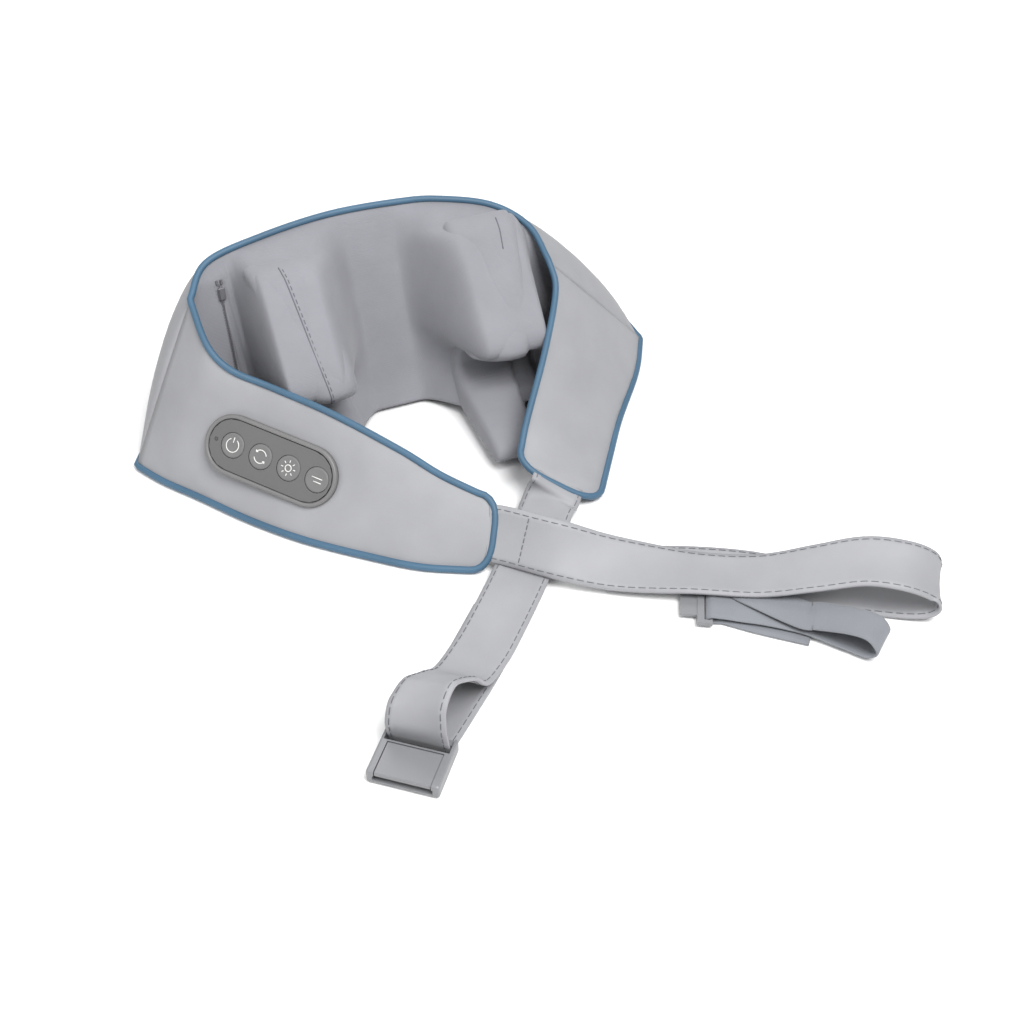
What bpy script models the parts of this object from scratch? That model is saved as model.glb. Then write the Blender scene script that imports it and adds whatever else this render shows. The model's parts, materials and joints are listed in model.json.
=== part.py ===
"""Shiatsu neck massager: a padded collar with two kneading hands, a control panel and two straps.

Units are metres, +Z is up, and the arms of the collar point along -Y. The origin is on the
underside of the base panel. Left and right are -X and +X.
"""

import math

import bmesh
import bpy
import numpy as np
from mathutils import Matrix, Vector

MM = 0.001
GAP = 0.3 * MM

# Collar: the seam line along its upper and its lower edge, as points in millimetres.
LEFT_ARM_TOP = [
    (-140, -6, 118), (-138, -38, 100), (-127, -54, 87), (-105, -70, 78),
    (-72, -106, 71), (-36, -145, 57), (-14, -162, 50), (4, -186, 44),
]
LEFT_ARM_BOTTOM = [
    (-201, -26, 3), (-187, -50, 3), (-166, -78, 3), (-139, -115, 3),
    (-109, -149, 3), (-73, -181, 3), (-45, -203, 3), (-16, -218, 3),
]
RIGHT_ARM_TOP = [(119, -35, 105), (118, -50, 90), (94, -88, 68), (62, -131, 44), (50, -149, 34)]
RIGHT_ARM_BOTTOM = [(208, -19, 3), (185, -59, 3), (147, -109, 4), (120, -149, 5), (100, -179, 5)]
BACK_TOP = [
    (-140, -6, 118), (-122, 16, 131), (-81, 24, 138), (-26, 33, 140), (27, 31, 140),
    (56, 25, 139), (93, 15, 131.5), (115, -5, 119.5), (119, -35, 105),
]
BACK_BOTTOM = [
    (-201, -26, 3), (-183, 5, 3), (-160, 36, 3), (-120, 62, 3), (-60, 76, 3), (0, 80, 3),
    (60, 76, 3), (120, 66, 3), (170, 50, 3), (203, 24, 3), (208, -19, 3),
]
ARM_ROWS = 10
BACK_ROWS = 15
COLUMNS = 5
BACK_BULGE = 24 * MM
BULGE_FULLNESS = 0.55
TIP_REACH = 14 * MM
TIP_ROWS = 3
PIPING_R = 2.4 * MM
SEAM_INSET = 3.3 * MM
CORNER_GAP = 0.4 * MM

# Layers of the collar, outside to inside.
LAYER_GAP = 0.45 * MM
COVER_T = 1.6 * MM
LINING_T = 1.2 * MM
ARM_PADDING_MID = 8.5 * MM
ARM_PADDING_EDGE = 0.6 * MM
BACK_PADDING_T = 4.0 * MM

# Inner skin that the neck leans on.
SKIN_T = 2.4 * MM
SKIN_TOP_DROP = 6 * MM
SKIN_FOOT_Y = -30 * MM
SKIN_FOOT_Z = 3.2 * MM
CENTRE_SKIN_X = 29 * MM
SIDE_SKIN_X = 110 * MM
BASE_T = 2.2 * MM

# Kneading drive: cross shaft, worm wheel, worm and inclined hubs.
SHAFT_Y = 28 * MM
SHAFT_Z = 70 * MM
SHAFT_R = 4 * MM
SHAFT_HALF = 84 * MM
WHEEL_R = 13.5 * MM
WHEEL_HALF = 4.5 * MM
WHEEL_TEETH = 24
WORM_R = 6 * MM
WORM_Y = SHAFT_Y + WHEEL_R + WORM_R + GAP
WORM_HALF = 12 * MM
MOTOR_R = 14 * MM
MOTOR_BASE_Z = 5 * MM
MOTOR_TOP_Z = 46 * MM
HAND_X = 75 * MM
HUB_R = 10 * MM
HUB_HALF = 7 * MM
HUB_TILT = math.radians(2.5)
BEARING_R = 14 * MM
HAND_RING_R = 22 * MM
HAND_PLATE_HALF = 6 * MM
HAND_HALF = 26.5 * MM
HAND_TAPER = 0.25
HAND_LEAN_FRONT = 7 * MM
HAND_LEAN_FOOT = 10 * MM
HAND_FRONT_Y = 84 * MM
HAND_TOP_Z = 130 * MM
PAD_INSET = 3.2 * MM

# Control panel on the left arm, in its own frame: x along the arm, y across it, z outward.
PANEL_LENGTH = 104 * MM
PANEL_WIDTH = 43 * MM
PANEL_ALONG = 10.5 * MM
PANEL_ACROSS = -1 * MM
BUTTON_PITCH = 22.5 * MM
BUTTON_R = 8.9 * MM
BUTTONS = ["button_power", "button_direction", "button_heat", "button_mode"]
FIRST_BUTTON = -30 * MM

# Zipper down the left side skin: its middle, and its two ends as shares of the skin's height.
ZIPPER_X = -116.5 * MM
ZIPPER_TOP = 0.96
ZIPPER_FOOT = 0.3
ZIPPER_W = 7 * MM
ZIPPER_T = 1 * MM
ZIPPER_LIFT = 0.8 * MM

# Straps and webbing: (x, y, z) in millimetres of the middle of the band, then the direction across it.
STRAP_W = 39 * MM
STRAP_T = 2.8 * MM
WEBBING_W = 25 * MM
WEBBING_T = 1.8 * MM
STRAP_START = 19.5 * MM
LEFT_STRAP = [
    (36, -239, 23, 0.27, 0.64, 0.72), (71, -258, 14, 0.36, 0.82, 0.44), (116, -282, 10.8, 0.45, 0.89, 0.03),
    (156, -302, 11, 0.48, 0.88, 0.03), (186, -320, 23, 0.5, 0.86, 0.14), (214, -334, 32, 0.5, 0.84, 0.21),
    (235, -348, 33, 0.51, 0.83, 0.24), (253, -355, 24, 0.53, 0.81, 0.24), (257, -358, 14.7, 0.53, 0.82, 0.19),
    (250, -355, 6.5, 0.53, 0.84, 0.1), (228, -341, 1.9, 0.52, 0.86, 0), (187, -315, 1.9, 0.48, 0.87, 0),
    (159, -289, 1.9, 0.48, 0.87, 0), (111, -264, 1.9, 0.45, 0.89, 0), (67, -251, 1.9, 0.47, 0.88, 0),
]
RIGHT_STRAP = [
    (54, -187, 10, -0.7, 0.71, 0), (16, -235, 6, -0.73, 0.68, 0), (-22, -278, 5.8, -0.67, 0.74, 0),
    (-38, -294, 5.7, -0.67, 0.74, 0), (-55, -310, 10, -0.67, 0.74, -0.1), (-67, -321, 26, -0.63, 0.7, -0.32),
    (-80, -332, 40, -0.64, 0.68, -0.35), (-87, -338, 43, -0.66, 0.65, -0.35), (-95, -346, 38, -0.7, 0.64, -0.3),
    (-98, -350, 26, -0.75, 0.63, -0.16), (-97, -349, 15, -0.782, 0.622, 0), (-96, -348, 9, -0.782, 0.622, 0),
    (-95, -347, 4.6, -0.782, 0.622, 0), (-91, -342, 1.9, -0.782, 0.622, 0), (-65, -318, 1.9, -0.68, 0.73, 0), (-43, -297, 1.9, -0.67, 0.74, 0),
    (-10, -262, 1.9, -0.68, 0.73, 0),
]
WEBBING = [
    (169, -352, 1.3, 0.46, 0.89, 0), (144, -331, 1.3, 0.46, 0.89, 0), (126.5, -314.4, 1.3, 0.463, 0.887, 0),
    (121.6, -311.9, 1.3, 0.463, 0.887, 0),
    (118, -310, 1.3, 0.463, 0.887, 0), (115.3, -308.6, 3.7, 0.463, 0.887, 0), (118, -310, 6.1, 0.463, 0.887, 0),
    (121.6, -311.9, 6.1, 0.463, 0.887, 0), (126.5, -314.4, 5.8, 0.463, 0.887, 0), (136, -320, 4.9, 0.47, 0.88, 0),
    (150, -329, 4.6, 0.52, 0.85, 0), (170, -345, 3.8, 0.57, 0.82, 0), (188, -366, 2.9, 0.7, 0.71, 0),
    (197, -378, 3.8, 0.78, 0.62, 0), (201, -382.5, 9.5, 0.78, 0.62, 0), (197, -376, 17, 0.78, 0.62, 0),
    (188, -365, 16.5, 0.7, 0.71, 0), (174, -349, 11, 0.56, 0.83, 0), (166, -341, 8.6, 0.54, 0.84, 0),
    (143, -304, 6.9, 0.46, 0.89, 0),
]

# Buckle: its female half, in its own frame: x across, y from its mouth to its bar, z up.
BUCKLE_MOUTH = (-114.8, -371.4)
BUCKLE_ACROSS = (0.782, -0.622)
BUCKLE_W = 45 * MM
BUCKLE_DEPTH = 37.5 * MM
BUCKLE_H = 10 * MM
BUCKLE_FLOOR = 0.3 * MM
INSERT_BAR = (118, -310, 3.7)
INSERT_AWAY = (-0.887, 0.463)

PARTS = "shiatsu_neck_massager"
SHARP_ANGLE = 35
CUTTERS = "cutters"


def reset():
    """Removes every object and makes the two collections."""
    for found in list(bpy.data.objects):
        bpy.data.objects.remove(found)
    for name in (PARTS, CUTTERS):
        collection = bpy.data.collections.new(name)
        bpy.context.scene.collection.children.link(collection)


def material(name, colour, roughness=0.6, metallic=0.0):
    """A Principled material, made once for each name."""
    found = bpy.data.materials.get(name)
    if found:
        return found
    made = bpy.data.materials.new(name)
    made.use_nodes = True
    shader = made.node_tree.nodes["Principled BSDF"]
    shader.inputs["Base Color"].default_value = (*colour, 1)
    shader.inputs["Roughness"].default_value = roughness
    shader.inputs["Metallic"].default_value = metallic
    return made


def leather():
    return material("grey_leather", (0.44, 0.44, 0.46), 0.55)


def stretch_fabric():
    return material("stretch_fabric", (0.36, 0.36, 0.40), 0.8)


def foam():
    return material("foam", (0.75, 0.74, 0.70), 0.9)


def grey_plastic():
    return material("grey_plastic", (0.24, 0.24, 0.245), 0.4)


def black_plastic():
    return material("black_plastic", (0.03, 0.03, 0.03), 0.45)


def steel():
    return material("steel", (0.6, 0.6, 0.62), 0.3, 1.0)


def link(obj, mat, collection=PARTS):
    """Puts an object in its collection with its own material."""
    for holder in list(obj.users_collection):
        holder.objects.unlink(obj)
    bpy.data.collections[collection].objects.link(obj)
    if mat:
        obj.data.materials.clear()
        obj.data.materials.append(mat)
    return obj


def add_mesh(name, verts, faces, mat, collection=PARTS):
    """A mesh object from points and faces, with its normals made to point out."""
    mesh = bpy.data.meshes.new(name)
    mesh.from_pydata([tuple(v) for v in verts], [], faces)
    bm = bmesh.new()
    bm.from_mesh(mesh)
    bmesh.ops.recalc_face_normals(bm, faces=bm.faces)
    bm.to_mesh(mesh)
    bm.free()
    obj = bpy.data.objects.new(name, mesh)
    return link(obj, mat, collection)


def hide_cutter(obj):
    obj.hide_render = True
    obj.display_type = "WIRE"
    return obj


def cut(obj, cutters, operation="DIFFERENCE"):
    """Adds one exact Boolean for each cutter."""
    for tool in cutters:
        step = obj.modifiers.new(tool.name, "BOOLEAN")
        step.operation = operation
        step.solver = "EXACT"
        step.object = tool
    return obj


def box(name, low, high, mat=None, collection=PARTS):
    """A box between two corners, from the cube primitive."""
    low, high = Vector(low), Vector(high)
    mesh = bpy.data.meshes.new(name)
    bm = bmesh.new()
    bmesh.ops.create_cube(bm, size=1)
    bmesh.ops.scale(bm, vec=high - low, verts=bm.verts)
    bmesh.ops.translate(bm, vec=(high + low) / 2, verts=bm.verts)
    bm.to_mesh(mesh)
    bm.free()
    return link(bpy.data.objects.new(name, mesh), mat, collection)


def cylinder(name, centre, axis, radius, half, mat=None, collection=PARTS, sides=24):
    """A cylinder about an axis, with its origin on the axis."""
    mesh = bpy.data.meshes.new(name)
    bm = bmesh.new()
    bmesh.ops.create_cone(bm, cap_ends=True, segments=sides, radius1=radius, radius2=radius, depth=2 * half)
    bm.to_mesh(mesh)
    bm.free()
    obj = link(bpy.data.objects.new(name, mesh), mat, collection)
    obj.rotation_mode = "QUATERNION"
    obj.rotation_quaternion = Vector(axis).to_track_quat("Z", "Y")
    obj.location = centre
    return obj


def bevel(obj, width, segments=2, angle=40):
    step = obj.modifiers.new("bevel", "BEVEL")
    step.width = width
    step.segments = segments
    step.limit_method = "ANGLE"
    step.angle_limit = math.radians(angle)
    return obj


def flat_outline(name, points, half, mat, holes=(), collection=PARTS):
    """A 2D outline in the XY plane, thick by twice half, with holes, as a mesh."""
    curve = bpy.data.curves.new(name, "CURVE")
    curve.dimensions = "2D"
    curve.fill_mode = "BOTH"
    curve.extrude = half
    for ring in [points, *holes]:
        spline = curve.splines.new("POLY")
        spline.points.add(len(ring) - 1)
        for target, (x, y) in zip(spline.points, ring):
            target.co = (x, y, 0, 1)
        spline.use_cyclic_u = True
    return curve_to_mesh(name, curve, mat, collection)


def curve_to_mesh(name, curve, mat, collection=PARTS):
    """Replaces a curve with its welded mesh."""
    source = bpy.data.objects.new(name + "_curve", curve)
    bpy.context.scene.collection.objects.link(source)
    seen = source.evaluated_get(bpy.context.evaluated_depsgraph_get())
    mesh = bpy.data.meshes.new_from_object(seen)
    bm = bmesh.new()
    bm.from_mesh(mesh)
    bmesh.ops.remove_doubles(bm, verts=bm.verts, dist=1e-6)
    bmesh.ops.recalc_face_normals(bm, faces=bm.faces)
    bm.to_mesh(mesh)
    bm.free()
    bpy.data.objects.remove(source)
    return link(bpy.data.objects.new(name, mesh), mat, collection)


def circle(radius, centre=(0, 0), count=20):
    steps = (2 * math.pi * k / count for k in range(count))
    return [(centre[0] + radius * math.cos(a), centre[1] + radius * math.sin(a)) for a in steps]


def stadium(length, width, count=8):
    """The outline of a bar with round ends, along x."""
    radius, reach = width / 2, (length - width) / 2
    turns = [math.pi * k / count - math.pi / 2 for k in range(count + 1)]
    right = [(reach + radius * math.cos(a), radius * math.sin(a)) for a in turns]
    return right + [(-x, -y) for x, y in right]


def resample(points, count):
    """Evenly spaced points on the smooth curve through the given millimetre points, in metres."""
    p = np.array(points, float) * MM
    padded = np.vstack([2 * p[0] - p[1], p, 2 * p[-1] - p[-2]])
    fine = []
    for i in range(1, len(padded) - 2):
        a, b, c, d = padded[i - 1: i + 3]
        for u in np.linspace(0, 1, 12, endpoint=False):
            fine.append(
                0.5 * (2 * b + (c - a) * u + (2 * a - 5 * b + 4 * c - d) * u**2 + (3 * b - a - 3 * c + d) * u**3)
            )
    fine = np.array(fine + [p[-1]])
    run = np.concatenate([[0], np.cumsum(np.linalg.norm(np.diff(fine, axis=0), axis=1))])
    want = np.linspace(0, run[-1], count)
    return np.column_stack([np.interp(want, run, fine[:, k]) for k in range(3)])


def unit(v):
    return v / np.linalg.norm(v)


def round_tip(top, bottom, tip_reach):
    """Extra rows past an arm's last row, which narrow in a rounded end."""
    middle, half = (top[-1] + bottom[-1]) / 2, (top[-1] - bottom[-1]) / 2
    along = tip_direction(top, bottom)
    rows = []
    for k in range(1, TIP_ROWS + 1):
        turn = math.radians(72) * k / TIP_ROWS
        reach = along * tip_reach * math.sin(turn) / math.sin(math.radians(72))
        spread = half * math.cos(turn) ** 0.6
        rows.append((middle + reach + spread, middle + reach - spread))
    return np.vstack([top, [r[0] for r in rows]]), np.vstack([bottom, [r[1] for r in rows]])


def tip_direction(top, bottom):
    """The direction an arm points in at its end, square to its end line."""
    along = unit(top[-1] + bottom[-1] - top[-3] - bottom[-3])
    across = unit(top[-1] - bottom[-1])
    return unit(along - across * (along @ across))


def seam_rows(top, bottom, inset):
    """Both seams moved towards each other by inset."""
    across = top - bottom
    across /= np.linalg.norm(across, axis=1)[:, None]
    return top - across * inset, bottom + across * inset


def column_shares():
    """Places across the collar, closer together at its edges."""
    return [0.5 - 0.5 * math.cos(math.pi * k / (COLUMNS - 1)) for k in range(COLUMNS)]


def surface(top, bottom, bulge):
    """Grid of points from the lower to the upper seam, and its outward normals."""
    grid = np.zeros((len(top), COLUMNS, 3))
    flat = np.gradient(top + bottom, axis=0)
    out = np.column_stack([-flat[:, 1], flat[:, 0], 0 * flat[:, 0]])
    out /= np.linalg.norm(out, axis=1)[:, None]
    for k, t in enumerate(column_shares()):
        swell = bulge * (4 * t * (1 - t)) ** BULGE_FULLNESS
        grid[:, k] = bottom * (1 - t) + top * t + out * swell[:, None]
    along = np.gradient(grid, axis=0)
    across = np.gradient(grid, axis=1)
    normal = np.cross(along, across)
    normal /= np.linalg.norm(normal, axis=2)[:, :, None]
    flip = np.sign(np.sum(normal * out[:, None, :], axis=2))
    return grid, normal * flip[:, :, None]


def slab(name, outer, inner, mat):
    """A closed sheet between two grids of the same size, in triangles with matching diagonals."""
    rows, columns = outer.shape[:2]
    verts = list(outer.reshape(-1, 3)) + list(inner.reshape(-1, 3))
    shift = rows * columns
    faces = []
    for i in range(rows - 1):
        for j in range(columns - 1):
            a = i * columns + j
            for face in ((a, a + 1, a + columns + 1), (a, a + columns + 1, a + columns)):
                faces.append(face)
                faces.append(tuple(shift + v for v in reversed(face)))
    edge = [i * columns for i in range(rows)]
    edge += [(rows - 1) * columns + j for j in range(1, columns)]
    edge += [i * columns + columns - 1 for i in range(rows - 2, -1, -1)]
    edge += list(range(columns - 2, 0, -1))
    for a, b in zip(edge, edge[1:] + edge[:1]):
        faces.append((a, b, shift + b))
        faces.append((a, shift + b, shift + a))
    return add_mesh(name, verts, faces, mat)


def pillow_depth(rows):
    """Depth of an arm's padding at each grid point, from its corner to its tip."""
    shares = np.array(column_shares())
    across = 1 - np.abs(2 * shares - 1) ** 4
    along = np.ones(rows)
    fade = TIP_ROWS + 2
    for k in range(fade):
        along[rows - 1 - k] = 1 - (1 - k / fade) ** 3
    along[0], along[1] = 0.5, 0.85
    return ARM_PADDING_EDGE + (ARM_PADDING_MID - ARM_PADDING_EDGE) * np.outer(along, across)


def arm_rows(side, inset=0.0):
    """Seam lines of one arm, from the corner of the collar to the rounded tip."""
    top, bottom = (LEFT_ARM_TOP, LEFT_ARM_BOTTOM) if side == "left" else (RIGHT_ARM_TOP, RIGHT_ARM_BOTTOM)
    top, bottom = seam_rows(resample(top, ARM_ROWS), resample(bottom, ARM_ROWS), inset)
    return round_tip(top, bottom, TIP_REACH - inset)


def back_rows(inset=0.0):
    """Seam lines round the back, from the left corner to the right one."""
    return seam_rows(resample(BACK_TOP, BACK_ROWS), resample(BACK_BOTTOM, BACK_ROWS), inset)


def collar_surface():
    """Outer surface of the whole collar inside its piping, from the left tip to the right one."""
    left, back, right = arm_rows("left", SEAM_INSET), back_rows(SEAM_INSET), arm_rows("right", SEAM_INSET)
    top = np.vstack([left[0][::-1], back[0][1:-1], right[0]])
    bottom = np.vstack([left[1][::-1], back[1][1:-1], right[1]])
    bulge = np.zeros(len(top))
    count = len(left[0])
    round_back = np.sin(np.linspace(0, math.pi, len(back[0]))) ** BULGE_FULLNESS
    bulge[count - 1: count + len(back[0]) - 1] = BACK_BULGE * round_back
    return surface(top, bottom, bulge)


def pulled_in(grid, ends):
    """A copy of a grid whose first or last row is moved inward, to leave room at a corner seam."""
    grid = grid.copy()
    for end in ends:
        inner = 1 if end == 0 else -2
        step = grid[inner] - grid[end]
        grid[end] += step / np.linalg.norm(step, axis=1)[:, None] * CORNER_GAP
    return grid


def collar_part(name):
    """Outer surface and normals of one arm (from its corner to its tip) or of the back."""
    grid, normal = collar_surface()
    arm = ARM_ROWS + TIP_ROWS
    if name == "left":
        return pulled_in(grid[:arm][::-1], [0]), normal[:arm][::-1]
    if name == "right":
        return pulled_in(grid[-arm:], [0]), normal[-arm:]
    return pulled_in(grid[arm - 1: 1 - arm], [0, -1]), normal[arm - 1: 1 - arm]


def make_arm(side, cutters):
    """Cover, padding and lining of one arm."""
    grid, normal = collar_part(side)
    depth = pillow_depth(len(grid))[:, :, None]
    cover_in = grid - normal * COVER_T
    pad_out = cover_in - normal * LAYER_GAP
    pad_in = pad_out - normal * depth
    lining_out = pad_in - normal * LAYER_GAP
    lining_in = lining_out - normal * LINING_T
    cover = slab(f"{side}_arm_cover", grid, cover_in, leather())
    padding = slab(f"{side}_arm_padding", pad_out, pad_in, foam())
    slab(f"{side}_arm_lining", lining_out, lining_in, stretch_fabric())
    cut(cover, cutters)
    cut(padding, cutters)


def make_back(cutters):
    """Cover and padding round the back of the collar."""
    grid, normal = collar_part("back")
    cover_in = grid - normal * COVER_T
    pad_out = cover_in - normal * LAYER_GAP
    pad_in = pad_out - normal * BACK_PADDING_T
    cut(slab("back_cover", grid, cover_in, leather()), cutters)
    inner = slice(2, -2)
    cut(slab("back_padding", pad_out[inner, 1:-1], pad_in[inner, 1:-1], foam()), cutters)


def make_piping():
    """The one closed cord of piping round the whole edge of the collar."""
    left_top, left_bottom = arm_rows("left")
    right_top, right_bottom = arm_rows("right")
    back_top, back_bottom = back_rows()
    loop = [*left_top[::-1], *back_top[1:-1], *right_top]
    loop += [*right_bottom[::-1], *back_bottom[::-1][1:-1], *left_bottom]
    curve = bpy.data.curves.new("edge_piping", "CURVE")
    curve.dimensions = "3D"
    curve.bevel_depth = PIPING_R
    curve.bevel_resolution = 1
    spline = curve.splines.new("POLY")
    spline.points.add(len(loop) - 1)
    for target, point in zip(spline.points, loop):
        target.co = (*point, 1)
    spline.use_cyclic_u = True
    curve_to_mesh("edge_piping", curve, material("piping", (0.13, 0.26, 0.37), 0.5))


def top_at(x):
    """Height and depth of the upper seam over a place along the back."""
    seam = resample(BACK_TOP, 60)
    return float(np.interp(x, seam[:, 0], seam[:, 1])), float(np.interp(x, seam[:, 0], seam[:, 2]))


def skin_point(x, share, drop):
    """A point on the front of the inner skin, from its foot (0) to its top (1)."""
    y, z = top_at(x)
    top_y, top_z = y - drop * 0.6, z - drop
    return np.array([
        x, SKIN_FOOT_Y + (top_y - SKIN_FOOT_Y) * share, SKIN_FOOT_Z + (top_z - SKIN_FOOT_Z) * share,
    ])


def side_skin_point(x, share):
    """A point on the front of a side skin, which lies a little lower and further back."""
    foot_step = np.array([0, 10 * MM, 1 * MM]) * (1 - share)
    return skin_point(x, share, 2 * SKIN_TOP_DROP) + foot_step


def make_skins():
    """The inner skin between the hands, and beside each of them."""
    spans = {
        "centre_skin": np.linspace(-CENTRE_SKIN_X, CENTRE_SKIN_X, 5),
        "left_side_skin": np.linspace(-SIDE_SKIN_X, -SIDE_SKIN_X - 13 * MM, 3),
        "right_side_skin": np.linspace(SIDE_SKIN_X - 1 * MM, SIDE_SKIN_X + 5 * MM, 3),
    }
    shares = np.linspace(0, 1, 4)
    back = np.array([0, SKIN_T, 0])
    for name, xs in spans.items():
        if name == "centre_skin":
            front = np.array([[skin_point(x, s, SKIN_TOP_DROP) for s in shares] for x in xs])
        else:
            front = np.array([[side_skin_point(x, s) for s in shares] for x in xs])
        slab(name, front, front + back, stretch_fabric())


def make_base():
    """The flat base panel under the core."""
    seam = resample(BACK_BOTTOM, 40)
    inside = [p for p in seam if abs(p[0]) < 150 * MM and p[1] > 30 * MM]
    rim = [(p[0] * 0.93, p[1] - 8 * MM) for p in inside]
    outline = rim + [(112 * MM, -8 * MM), (40 * MM, -24 * MM), (-40 * MM, -24 * MM), (-112 * MM, -8 * MM)]
    base = flat_outline("base_panel", outline, BASE_T / 2, stretch_fabric())
    base.location.z = BASE_T / 2


def capsule(name, start, end, radius, x_low, x_high, mat=None, collection=CUTTERS):
    """A bar with round ends in the YZ plane, between two x values."""
    start, end = Vector(start), Vector(end)
    reach = end - start
    angle = math.atan2(reach.y, reach.x) if reach.length else 0.0
    outline = stadium(reach.length + 2 * radius, 2 * radius, 6)
    verts, middle = [], (start + end) / 2
    for x in (x_low, x_high):
        for u, v in outline:
            y = middle.x + u * math.cos(angle) - v * math.sin(angle)
            z = middle.y + u * math.sin(angle) + v * math.cos(angle)
            verts.append((x, y, z))
    count = len(outline)
    faces = [tuple(range(count)), tuple(range(2 * count - 1, count - 1, -1))]
    faces += [(k, (k + 1) % count, count + (k + 1) % count, count + k) for k in range(count)]
    return add_mesh(name, verts, faces, mat, collection)


def frame_bars():
    """The bars of a hand's frame: start and end in the YZ plane, radius, near and far x on a right hand."""
    ring = (SHAFT_Y, SHAFT_Z)
    palm = (-46 * MM, 86 * MM)
    heel = (-2 * MM, 22 * MM)
    finger = (-96 * MM, 15.5 * MM)
    near, far = HAND_X - HAND_PLATE_HALF, HAND_X + HAND_PLATE_HALF
    inner = HAND_X - 3 * HAND_PLATE_HALF
    return [
        (ring, palm, 8 * MM, near + 0.05 * MM, far - 0.05 * MM), (ring, heel, 6 * MM, near + 0.1 * MM, far - 0.1 * MM),
        (heel, heel, 5.9 * MM, inner, far - 0.2 * MM), (heel, finger, 5 * MM, inner + 0.1 * MM, inner + 12 * MM),
    ]


def side_span(side, near, far):
    """Low and high x on one side of the middle plane."""
    return sorted((side * near, side * far))


def hub_axis(side):
    """The inclined hub's axis. Both hubs lean the same way in the XZ plane at rest."""
    return Vector((math.cos(HUB_TILT), 0, side * math.sin(HUB_TILT)))


def make_hand_frame(side, label):
    """The C-shaped frame with its ring, its two arms and its anti-rotation pin."""
    x = side * HAND_X
    centre = Vector((x, SHAFT_Y, SHAFT_Z))
    mat = grey_plastic()
    frame = cylinder(f"hand_frame_{label}", centre, (1, 0, 0), HAND_RING_R, HAND_PLATE_HALF, mat)
    tools = [
        capsule(f"frame_bar_{label}_{k}", a, b, r, *side_span(side, near, far))
        for k, (a, b, r, near, far) in enumerate(frame_bars())
    ]
    pin_z = SHAFT_Z - 20 * MM
    tools.append(
        cylinder(f"torque_pin_{label}", (x, SHAFT_Y + 14 * MM, pin_z), (0, 1, 0), 2.5 * MM, 11 * MM, None, CUTTERS, 12)
    )
    cut(frame, [hide_cutter(t) for t in tools], "UNION")
    bore = cylinder(
        f"frame_bore_{label}", centre, hub_axis(side), BEARING_R + GAP, 3 * HAND_PLATE_HALF, None, CUTTERS, 24
    )
    cut(frame, [hide_cutter(bore)])
    frame.parent = hand_pivot(side, label)
    frame.matrix_parent_inverse = frame.parent.matrix_world.inverted()


def hand_pivot(side, label):
    """The empty on a hand's joint axis."""
    name = f"pivot_hand_{label}"
    found = bpy.data.objects.get(name)
    if found:
        return found
    empty = bpy.data.objects.new(name, None)
    bpy.data.collections[PARTS].objects.link(empty)
    empty.location = (side * HAND_X, SHAFT_Y, SHAFT_Z)
    bpy.context.view_layer.update()
    return empty


def hand_outline(inset):
    """The C of a hand seen from its side, in the YZ plane, moved inward by inset."""
    upper = [(2, 129), (-12, 130), (-24, 127), (-44, 108), (-64, 88), (-79, 74), (-84, 66), (-81, 59), (-72, 56)]
    throat = [(-58, 55), (-48, 52), (-43, 46), (-42, 38), (-46, 30), (-56, 27)]
    finger = [(-80, 26), (-108, 24), (-126, 20), (-132, 14), (-128, 8), (-116, 5), (-60, 5), (0, 5), (2, 30), (2, 80)]
    ring = np.array(upper + throat + finger, float) * MM
    before, after = np.roll(ring, 1, axis=0), np.roll(ring, -1, axis=0)
    run_in = (ring - before) / np.linalg.norm(ring - before, axis=1)[:, None]
    run_out = (after - ring) / np.linalg.norm(after - ring, axis=1)[:, None]
    bisector = np.column_stack([-(run_in + run_out)[:, 1], (run_in + run_out)[:, 0]])
    bisector /= np.linalg.norm(bisector, axis=1)[:, None]
    lean = np.sum(bisector * np.column_stack([-run_in[:, 1], run_in[:, 0]]), axis=1)
    return ring + bisector * (inset / np.maximum(lean, 0.5))[:, None]


def hand_body(side, inset, rounding, with_back=True):
    """Mesh data of a hand's soft C: its outline across its width, rounded, and narrower at its front."""
    half = HAND_HALF - inset
    outline = hand_outline(inset)
    bm = bmesh.new()
    layers = []
    for x in (-half, half):
        layers.append([bm.verts.new((x, y, z)) for y, z in outline])
    count = len(outline)
    bm.faces.new(layers[0])
    bm.faces.new(list(reversed(layers[1])))
    for k in range(count):
        nxt = (k + 1) % count
        bm.faces.new((layers[0][k], layers[1][k], layers[1][nxt], layers[0][nxt]))
    bmesh.ops.recalc_face_normals(bm, faces=bm.faces)
    rims = [e for e in bm.edges if abs(e.verts[0].co.x - e.verts[1].co.x) < 1e-9]
    rims = [e for e in rims if min(v.co.y for v in e.verts) < -1 * MM]
    bmesh.ops.bevel(bm, geom=rims, offset=rounding, segments=2, profile=0.5, affect="EDGES", clamp_overlap=True)
    if not with_back:
        behind = [f for f in bm.faces if f.normal.y > 0.95]
        bmesh.ops.delete(bm, geom=behind, context="FACES")
    bmesh.ops.triangulate(bm, faces=bm.faces)
    for v in bm.verts:
        lean = HAND_LEAN_FRONT * -v.co.y / HAND_FRONT_Y + HAND_LEAN_FOOT * (1 - v.co.z / HAND_TOP_Z)
        v.co.x = side * (HAND_X - lean) + v.co.x * (1 + HAND_TAPER * v.co.y / HAND_FRONT_Y)
    mesh = bpy.data.meshes.new("hand_body")
    bm.to_mesh(mesh)
    bm.free()
    return mesh


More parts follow.
